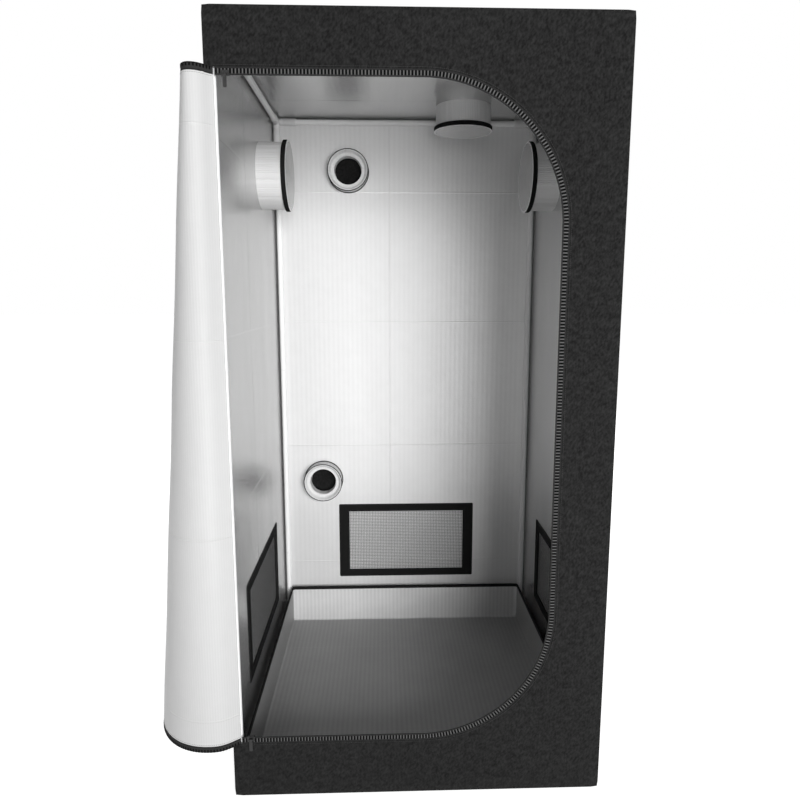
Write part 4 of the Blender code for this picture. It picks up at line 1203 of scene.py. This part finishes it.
def make_tray():
    """One sheet folded up at its four sides, with a stitched binding over its top edge."""
    upright = TRAY_TOP - TRAY_LOW - TRAY_FOLD
    rings = [((TRAY_HALF - TRAY_FOLD) * step / 18, 0.0) for step in range(1, 19)]
    rings += [
        (TRAY_HALF - 0.0030, 0.0007), (TRAY_HALF - 0.0008, 0.0028), (TRAY_HALF, TRAY_FOLD),
    ]
    rings += [(TRAY_HALF, TRAY_FOLD + upright * step / 8) for step in range(1, 9)]
    count = len(squared_ring(TRAY_HALF, TRAY_CORNER))
    layers = []
    for inward in (0.0, TRAY_WALL):
        points = [np.array([[0.0, 0.0, TRAY_LOW + inward]])]
        for half, rise in rings:
            share = min(rise / TRAY_FOLD, 1.0)
            own_half = half - inward * share
            own_rise = rise + inward * (1 - share)
            corner = min(TRAY_CORNER, own_half * 0.4) * (0.3 + 0.7 * share)
            flat = squared_ring(own_half, corner)
            lift = 0.0004 * (1 - share) * (1 + np.sin(flat[:, 0] * 31 + flat[:, 1] * 17))
            points.append(np.column_stack([flat, TRAY_LOW + own_rise + lift]))
        layers.append(np.vstack(points))
    unfolded = []
    outer = layers[0]
    reach = np.maximum(outer[:, 2] - TRAY_LOW - TRAY_FOLD, 0.0)
    for (x, y), rise in zip(outer[:, :2], reach):
        if abs(x) > abs(y):
            unfolded.append((x + math.copysign(rise, x), y))
        else:
            unfolded.append((x, y + math.copysign(rise, y)))
    faces = [(0, 1 + index, 1 + (index + 1) % count) for index in range(count)]
    for ring in range(len(rings) - 1):
        low = 1 + ring * count
        high = low + count
        for index in range(count):
            after = (index + 1) % count
            faces.append((low + index, high + index, high + after, low + after))
    mesh = two_faced("folded_floor_tray", layers[0], layers[1], faces, np.asarray(unfolded))
    piece = new_piece(mesh, [TRAY_FILM], "tent", ["floor_tray"])

    loop = [tuple(point) for point in squared_ring(TRAY_BINDING_HALF, 0.0095, 24, 8)]
    path = np.asarray(evenly(loop, TRIM_PATH_STEP))
    across = np.column_stack([outward_of(path), np.zeros(len(path))])
    path = np.column_stack([path, np.full(len(path), TRAY_BINDING_LOW)])
    band = [
        (0.00185, 0.0), (0.00185, 0.0089), (0.00150, 0.0096), (0.0008, 0.0100),
        (-0.0008, 0.0100), (-0.00150, 0.0096), (-0.00185, 0.0089), (-0.00185, 0.0),
        (-0.00095, 0.0), (-0.00095, 0.0089), (0.00095, 0.0089), (0.00095, 0.0),
    ]
    binding = swept("tray_edge_binding", path, across, (0.0, 0.0, 1.0), band, closed=True)
    trim = new_piece(binding, [WEBBING], "tent", ["tray_binding"])
    seams = [
        row_piece(
            f"tray_stitches_{label}", path + across * 0.00190 * side + (0.0, 0.0, 0.0022),
            across * side, TRIM_SEAM_PITCH, (0.0026, 0.0005, 0.0001), 0.00015, BLACK_THREAD,
            "tent", closed=True,
        )
        for label, side in (("outer", 1), ("inner", -1))
    ]


# Ports

def eased(low, high, steps):
    """Even steps from one value to another, both included."""
    return [low + (high - low) * step / steps for step in range(steps + 1)]


def make_duct(name, radius, depth, origin, axis):
    """Tied sock that stands into the tent, its elastic hem, and the binding of its mouth."""
    rim = radius + PLY_GAP + SOCK_RIM
    wall = SOCK_WALL
    ribs = round(2 * math.pi * radius / SOCK_RIB_PITCH)
    rings = [(0.0, depth - 0.0004)]
    rings += [(rim * share, depth - 0.0004 * (1 - share)) for share in
              (0.08, 0.20, 0.34, 0.48, 0.62, 0.74, 0.84, 0.91, 0.96)]
    last_wrinkle = len(rings) - 1
    rings += [(rim - 0.0005, depth - 0.0001), (rim, depth - 0.0006), (rim - 0.0005, depth - wall)]
    rings += [(radius + 0.0010, depth - wall), (radius, depth - wall - 0.0010)]
    first_rib = len(rings)
    rings += [(radius, height) for height in eased(depth - wall - 0.006, 0.004, 8)]
    last_rib = len(rings) - 1
    rings += [(radius, -0.0002), (radius - wall, -0.0002)]
    rings += [(radius - wall, height) for height in eased(0.004, depth - 2 * wall, 5)]
    rings += [((radius - wall) * share, depth - 2 * wall) for share in (0.8, 0.4)]
    rings.append((0.0, depth - 2 * wall))

    def wave(angle, number):
        if first_rib <= number <= last_rib:
            return 0.00045 * math.cos(ribs * angle) - 0.00045
        if 2 <= number <= last_wrinkle:
            own = rings[number][0] / rim
            return 0.0012 * own ** 4 * math.sin(46 * angle + 2 * math.sin(5 * angle)) - 0.0012 * own
        return 0.0

    mesh = ring_sheet(
        f"{name}_tied_sock", rings, 480, origin, axis, False, wave, first_rings=last_wrinkle
    )
    # The sock's tied end takes the shaded copy of the lining film: painted shade on the end disc.
    sock = new_piece(mesh, [DUCT_FILM, SHADED_FILM], "tent", [f"{name}_duct_sock"])
    high = depth - wall - PLY_GAP
    low = high - HEM_HEIGHT
    inner = radius + PLY_GAP
    hem_rings = [
        (inner, high), (rim - 0.0018, high), (rim - 0.0005, high - 0.0006), (rim, high - 0.0022),
    ]
    hem_rings += [(rim, high - 0.0022 - 0.0074 * step / 6) for step in range(1, 6)]
    hem_rings += [
        (rim, low + 0.0022), (rim - 0.0005, low + 0.0006), (rim - 0.0018, low), (inner, low),
    ]
    gathers = round(2 * math.pi * rim / HEM_GATHER_PITCH)

    def puckers(angle, number):
        if number in (0, len(hem_rings) - 1):
            return 0.0
        return 0.00022 * math.sin(gathers * angle + 0.8 * math.sin(7 * angle)) - 0.00022

    mesh = ring_sheet(f"{name}_elastic_hem", hem_rings, 288, origin, axis, True, puckers, 60.0)
    hem = new_piece(mesh, [ELASTIC], "tent", [f"{name}_duct_hem"])
    binding_rings = [
        (radius - wall, -0.0003), (radius - wall, -0.0009), (radius + 0.0115, -0.0009),
        (radius + 0.0120, -0.0006), (radius + 0.0120, -0.00005), (radius - 0.0002, -0.00005),
        (radius - 0.0002, -0.0003),
    ]
    mesh = ring_sheet(
        f"{name}_mouth_binding", binding_rings, TRIM_SEGMENTS, origin, axis, True
    )
    mouth = new_piece(mesh, [WEBBING], "tent")


def make_cable_port(name, port):
    """White double cuff inside the back wall, and the black tied closure outside it."""
    origin = (port[0], HALF, port[1])
    axis = (0.0, -1.0, 0.0)
    cuff_rings = [
        (0.0580, 0.0438), (0.0592, 0.0431), (0.0600, 0.0412), (0.0597, 0.0370), (0.0600, 0.0320),
        (0.0598, 0.0250), (0.0600, 0.0180), (0.0599, 0.0100), (0.0600, 0.0026), (0.0400, 0.0026),
        (0.0403, 0.0120), (0.0408, 0.0240), (0.0412, 0.0298), (0.0420, 0.0305), (0.0436, 0.0301),
        (0.0470, 0.0300), (0.0500, 0.0303), (0.0514, 0.0311), (0.0530, 0.0345), (0.0548, 0.0395),
        (0.0560, 0.0428), (0.0570, 0.0437),
    ]
    loose = {*range(8), *range(13, 22)}

    def gathers(angle, number):
        if number not in loose:
            return 0.0
        return 0.00030 * math.sin(38 * angle + 1.5 * math.sin(4 * angle)) - 0.00030

    mesh = ring_sheet(f"{name}_cuff", cuff_rings, 304, origin, axis, True, gathers)
    cuff = new_piece(mesh, [CUFF_CLOTH], "tent", [f"{name}_cable_sleeve"])
    seam_rings = [
        (0.0603, 0.0026), (0.0603, 0.0046), (0.0609, 0.0052), (0.0621, 0.0050), (0.0626, 0.0040),
        (0.0626, 0.0026),
    ]
    (radius, height), proud = PIPING_PLACE, PIPING_RADIUS
    angles = [math.pi * step / 4 for step in range(8)]
    piping_rings = [
        (radius + proud * math.cos(angle), height - proud * math.sin(angle)) for angle in angles
    ]
    trims = [
        new_piece(
            ring_sheet(f"{name}_{label}", rings, TRIM_SEGMENTS, origin, axis, True, None, 70.0),
            [WEBBING], "tent",
        )
        for label, rings in (("cuff_seam", seam_rings), ("cuff_piping", piping_rings))
    ]
    cap_rings = [(0.0, -0.0188), (0.0058, -0.0188)]
    cap_rings += [(0.0058 + 0.0327 * share, -0.0188 + 0.0060 * share) for share in
                  (0.25, 0.5, 0.75)]
    cap_rings += [(0.0385, -0.0128), (0.0385, -0.006), (0.0385, 0.0023), (0.0397, 0.0023)]
    cap_rings += [(0.0397, -0.0030), (0.0397, -0.0080), (0.0395, -0.0122), (0.0385, -0.0141)]
    first_pleat = len(cap_rings)
    cap_rings += [(0.0385 - 0.0315 * share, -0.0141 - 0.0059 * share) for share in
                  (0.15, 0.3, 0.45, 0.6, 0.75, 0.9, 1.0)]
    cap_rings += [(0.0082, -0.0216), (0.0098, -0.0236), (0.0110, -0.0254), (0.0100, -0.0260),
                  (0.0050, -0.0258), (0.0, -0.0256)]

    def pleats(angle, number):
        if number < first_pleat or cap_rings[number][0] == 0:
            return 0.0
        return 0.045 * cap_rings[number][0] * (math.sin(22 * angle) - 1) * 0.5

    mesh = ring_sheet(f"{name}_closure", cap_rings, 264, origin, axis, False, pleats, 60.0)
    closure = new_piece(mesh, [OXFORD], "tent", [f"{name}_cable_closure"])


def make_ports():
    side_u, side_v, side_radius = SIDE_DUCT
    roof_x, roof_y, roof_radius = ROOF_DUCT
    make_duct("left", side_radius, SIDE_DUCT_DEPTH, (-HALF, side_u, side_v), (1, 0, 0))
    make_duct("right", side_radius, SIDE_DUCT_DEPTH, (HALF, side_u, side_v), (-1, 0, 0))
    make_duct("roof", roof_radius, ROOF_DUCT_DEPTH, (roof_x, roof_y, HEIGHT), (0, 0, -1))
    make_cable_port("upper", UPPER_CABLE)
    make_cable_port("lower", LOWER_CABLE)


# Vents

VENT_PLACES = {
    "back": (SIDES["back"], BACK_VENT_X),
    "left": (SIDES["left"], SIDE_VENT_Y),
    "right": (SIDES["right"], SIDE_VENT_Y),
}


def flat_sheet(name, side, outline, holes, cell, outer_depth, thickness, finishes_apart=False):
    """Flat sheet on one side of the tent, with its outer face at a depth."""
    flat, faces, _ = pattern(outline, holes, cell)
    outer, inner = (side.points(flat, depth) for depth in (outer_depth, outer_depth + thickness))
    return two_faced(name, outer, inner, faces, flat, finishes_apart)


def stitched_loop(name, side, loop, depth, outward, body):
    """Stitches along a closed flat loop on one side of the tent, standing out of the webbing."""
    path = side.points(np.asarray(evenly(loop, TRIM_PATH_STEP)), depth)
    return row_piece(
        name, path, side.outward * outward, TRIM_SEAM_PITCH, STITCH, 0.00012, BLACK_THREAD, body,
        closed=True,
    )


def make_vent(name):
    """Webbing frame sewn round the window, the knitted net in it and the flap outside."""
    side, middle = VENT_PLACES[name]
    centre = (middle, VENT_Z)
    depth = WALL + PLY_GAP
    border = rounded_rectangle(centre, VENT_HALF, 0.004)
    mesh = flat_sheet(
        f"{name}_vent_webbing", side, border, [rectangle(centre, WINDOW_HALF)], WEBBING_CELL,
        depth, WEBBING_PLY,
    )
    webbing = new_piece(mesh, [WEBBING], "tent", [f"{name}_vent_frame"])
    seams = [
        stitched_loop(
            f"{name}_vent_{label}_stitches", side, rectangle(centre, half), depth + 0.00125, -1,
            "tent",
        )
        for label, half in (("outer", OUTER_SEAM_HALF), ("inner", INNER_SEAM_HALF))
    ]
    values = {
        "Width": 2 * NET_HALF[0] - 0.001, "Height": 2 * NET_HALF[1] - 0.001, "Pitch": NET_PITCH,
        "Strand": STRAND, "Thickness": STRAND_THICKNESS, "Finish": NET_THREAD,
    }
    mesh = NET.make(f"{name}_knitted_net", path_mesh([(0, 0, 0), (0, 0, 1)], (0, 0, 1)), values)
    axes = Matrix((side.across, side.outward, side.along)).transposed().to_4x4()
    place = side.points(np.array([centre]), WALL - 0.0005)[0]
    mesh.transform(Matrix.Translation(Vector(place)) @ axes)
    net = new_piece(mesh, [NET_THREAD], "tent", [f"{name}_vent_net"])
    make_flap(name, side, middle)


def make_flap(name, side, middle):
    """Outer flap, black outside and film inside, with a stitched edge binding."""
    body = f"{name}_flap"
    width, height = FLAP_SIZE
    centre = (middle, VENT_Z)
    outline = rounded_rectangle(centre, (width / 2, height / 2), 0.012, 6)
    mesh = flat_sheet(
        f"{name}_flap_cloth", side, outline, [], CLOTH_CELL, -PLY_GAP - CLOTH, CLOTH,
        finishes_apart=True,
    )
    cloth = new_piece(mesh, [OXFORD, LIT_BACK_FILM], body, [f"{name}_vent_flap"])
    loop = np.asarray(evenly(outline, 0.010))
    away = outward_of(loop)
    path = side.points(loop, -PLY_GAP)
    across = away[:, :1] * side.across + away[:, 1:] * side.along
    band = [
        (0.0001, 0.0), (0.0006, 0.0001), (0.0008, 0.0007), (0.0005, 0.0012),
        (-0.0001, FLAP_TRIM), (-0.0070, FLAP_TRIM), (-0.0072, 0.00125), (0.0001, 0.0012),
    ]
    mesh = swept(f"{name}_flap_binding", path, across, side.outward, band, closed=True)
    trim = new_piece(mesh, [WEBBING], body)
    inner_loop = [tuple(point) for point in loop - away * FLAP_SEAM_IN]
    seam = stitched_loop(f"{name}_flap_stitches", side, inner_loop, -PLY_GAP - FLAP_TRIM, 1, body)


# Pole frame

def make_poles():
    """Smooth thin tubes between the corner joints."""
    low = FRAME_LOW + BORE_START + PLY_GAP
    high = FRAME_HIGH - BORE_START - PLY_GAP
    reach = FRAME_XY - BORE_START - PLY_GAP
    inner = POLE_RADIUS - 0.0010
    signs = {"front": -1, "back": 1, "left": -1, "right": 1}

    def tube(node, origin, axis, start, end):
        middle = (start + end) / 2
        rings = [
            (POLE_RADIUS, start), (POLE_RADIUS, middle), (POLE_RADIUS, end), (inner, end),
            (inner, middle), (inner, start),
        ]
        mesh = ring_sheet(f"{node}_tube", rings, 32, origin, axis, True)
        new_piece(mesh, [POWDER_COAT], "tent", [node])

    for y_name in ("front", "back"):
        for x_name in ("left", "right"):
            origin = (FRAME_XY * signs[x_name], FRAME_XY * signs[y_name], 0.0)
            tube(f"post_{y_name}_{x_name}", origin, (0, 0, 1), low, high)
    for level_name, level in (("bottom", FRAME_LOW), ("top", FRAME_HIGH)):
        for name in ("front", "back"):
            origin = (0.0, FRAME_XY * signs[name], level)
            tube(f"{level_name}_rail_{name}", origin, (1, 0, 0), -reach, reach)
        for name in ("left", "right"):
            origin = (FRAME_XY * signs[name], 0.0, level)
            tube(f"{level_name}_rail_{name}", origin, (0, 1, 0), -reach, reach)


def make_corners():
    """Three-way joints: a round elbow with three sockets, each with a rolled lip and a collar."""
    r, end, bore = SLEEVE_RADIUS, SLEEVE_LENGTH, POLE_RADIUS + 0.0004
    socket = [
        (0.0060, 0.0), (r - 0.0006, 0.0), (r - 0.0006, 0.0100), (r, 0.0120), (r, 0.0180),
        (r - 0.0005, 0.0190), (r - 0.0005, 0.0225), (r, 0.0235), (r, end - 0.0060),
        (r + 0.0004, end - 0.0050), (r + 0.0004, end - 0.0008), (r, end), (bore, end),
        (bore, 0.0135), (0.0060, 0.0130),
    ]
    angles = [math.pi * step / 20 for step in range(1, 20)]
    ball = [(BALL_RADIUS * math.sin(angle), BALL_RADIUS * math.cos(angle)) for angle in angles]
    ball = [(0.0, BALL_RADIUS), *ball, (0.0, -BALL_RADIUS)]
    for level_name, level, up in (("bottom", FRAME_LOW, 1), ("top", FRAME_HIGH, -1)):
        for y_name, y in (("front", -1), ("back", 1)):
            for x_name, x in (("left", -1), ("right", 1)):
                node = f"corner_{level_name}_{y_name}_{x_name}"
                centre = np.array((FRAME_XY * x, FRAME_XY * y, level))
                parts = [
                    ring_sheet("socket", socket, 40, centre, axis, True, None, 30.0)
                    for axis in ((-x, 0, 0), (0, -y, 0), (0, 0, up))
                ]
                parts.append(ring_sheet("elbow", ball, 40, centre, (0, 0, 1), False, None, 30.0))
                mesh = joined(f"{node}_joint", parts)
                new_piece(mesh, [MOULDING], "tent", [node])


def refinish(nodes, finish):
    """Give a finish to hard parts that show as their own CAD solids."""
    for node in nodes:
        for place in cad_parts[node].material_slots:
            place.material = finish


make_skin()
make_opening_zip()
make_door()
make_tray()
make_ports()
for place in VENT_PLACES:
    make_vent(place)
make_poles()
make_corners()
refinish(("upper_slider", "lower_slider", "upper_pull_tab", "lower_pull_tab"), ENAMEL)


# Studio

def seen_socket(tree):
    """1 for a ray from the camera, a reflection or a clear material, and 0 for plain lighting."""
    path = tree.nodes.new("ShaderNodeLightPath")
    seen = path.outputs["Is Camera Ray"]
    for output in ("Is Glossy Ray", "Is Transmission Ray"):
        either = tree.nodes.new("ShaderNodeMath")
        either.operation = "MAXIMUM"
        tree.links.new(seen, either.inputs[0])
        tree.links.new(path.outputs[output], either.inputs[1])
        seen = either.outputs[0]
    return seen


def studio_floor():
    """Pale floor that shows as white and still takes the tent's shadow."""
    finish = Finish("pale_floor", 0.55, 0.9, specular_ior_level=0.1)
    tree = finish.material.node_tree
    from_tent = finish.node(
        "ShaderNodeVectorMath", {"operation": "LENGTH"}, {0: finish.solid_place()}, output=1
    )
    glow = tree.nodes.new("ShaderNodeEmission")
    tree.links.new((0.82 + from_tent.rise(0.8, 2.6) * 0.14).socket, glow.inputs["Strength"])
    both = tree.nodes.new("ShaderNodeAddShader")
    chosen = tree.nodes.new("ShaderNodeMixShader")
    end = tree.nodes["Material Output"]
    tree.links.new(finish.shader.outputs[0], both.inputs[0])
    tree.links.new(glow.outputs[0], both.inputs[1])
    tree.links.new(seen_socket(tree), chosen.inputs[0])
    tree.links.new(finish.shader.outputs[0], chosen.inputs[1])
    tree.links.new(both.outputs[0], chosen.inputs[2])
    tree.links.new(chosen.outputs[0], end.inputs["Surface"])
    mesh = bpy.data.meshes.new("studio_floor")
    corners = [(-30, -30, 0), (30, -30, 0), (30, 30, 0), (-30, 30, 0)]
    mesh.from_pydata(corners, [], [(0, 1, 2, 3)])
    mesh.materials.append(finish.material)
    floor = bpy.data.objects.new("studio_floor", mesh)
    bpy.context.scene.collection.objects.link(floor)


def studio_sky(plain_light):
    """White surroundings for the camera and for reflections, with a lower even light."""
    world = bpy.data.worlds.new("studio")
    world.use_nodes = True
    tree = world.node_tree
    back = tree.nodes["Background"]
    level = tree.nodes.new("ShaderNodeMapRange")
    tree.links.new(seen_socket(tree), level.inputs[0])
    level.inputs[3].default_value = plain_light
    level.inputs[4].default_value = 1.0
    tree.links.new(level.outputs[0], back.inputs["Strength"])
    back.inputs["Color"].default_value = (1.0, 1.0, 1.0, 1.0)
    bpy.context.scene.world = world


def soft_box(name, place, target, size, power):
    """Area lamp aimed at a target, which shows in no reflection."""
    light = bpy.data.lights.new(name, "AREA")
    light.shape = "RECTANGLE"
    light.size, light.size_y = size
    light.energy = power
    holder = bpy.data.objects.new(name, light)
    holder.location = place
    aim = Vector(target) - Vector(place)
    holder.rotation_euler = aim.to_track_quat("-Z", "Y").to_euler()
    holder.visible_glossy = False
    bpy.context.scene.collection.objects.link(holder)


studio_floor()
studio_sky(plain_light=0.08)
for label, place, aim_height, size, power in (
    ("key", (1.20, -4.34, 1.45), 0.75, (2.2, 1.8), 240.0),
    ("back_left", (-2.60, 3.30, 2.80), 0.80, (2.0, 2.0), 84.0),
    ("back_right", (2.60, 3.30, 2.80), 0.80, (2.0, 2.0), 105.0),
):
    soft_box(label, place, (0.0, 0.0, aim_height), size, power)
bpy.context.scene.view_settings.view_transform = "Standard"
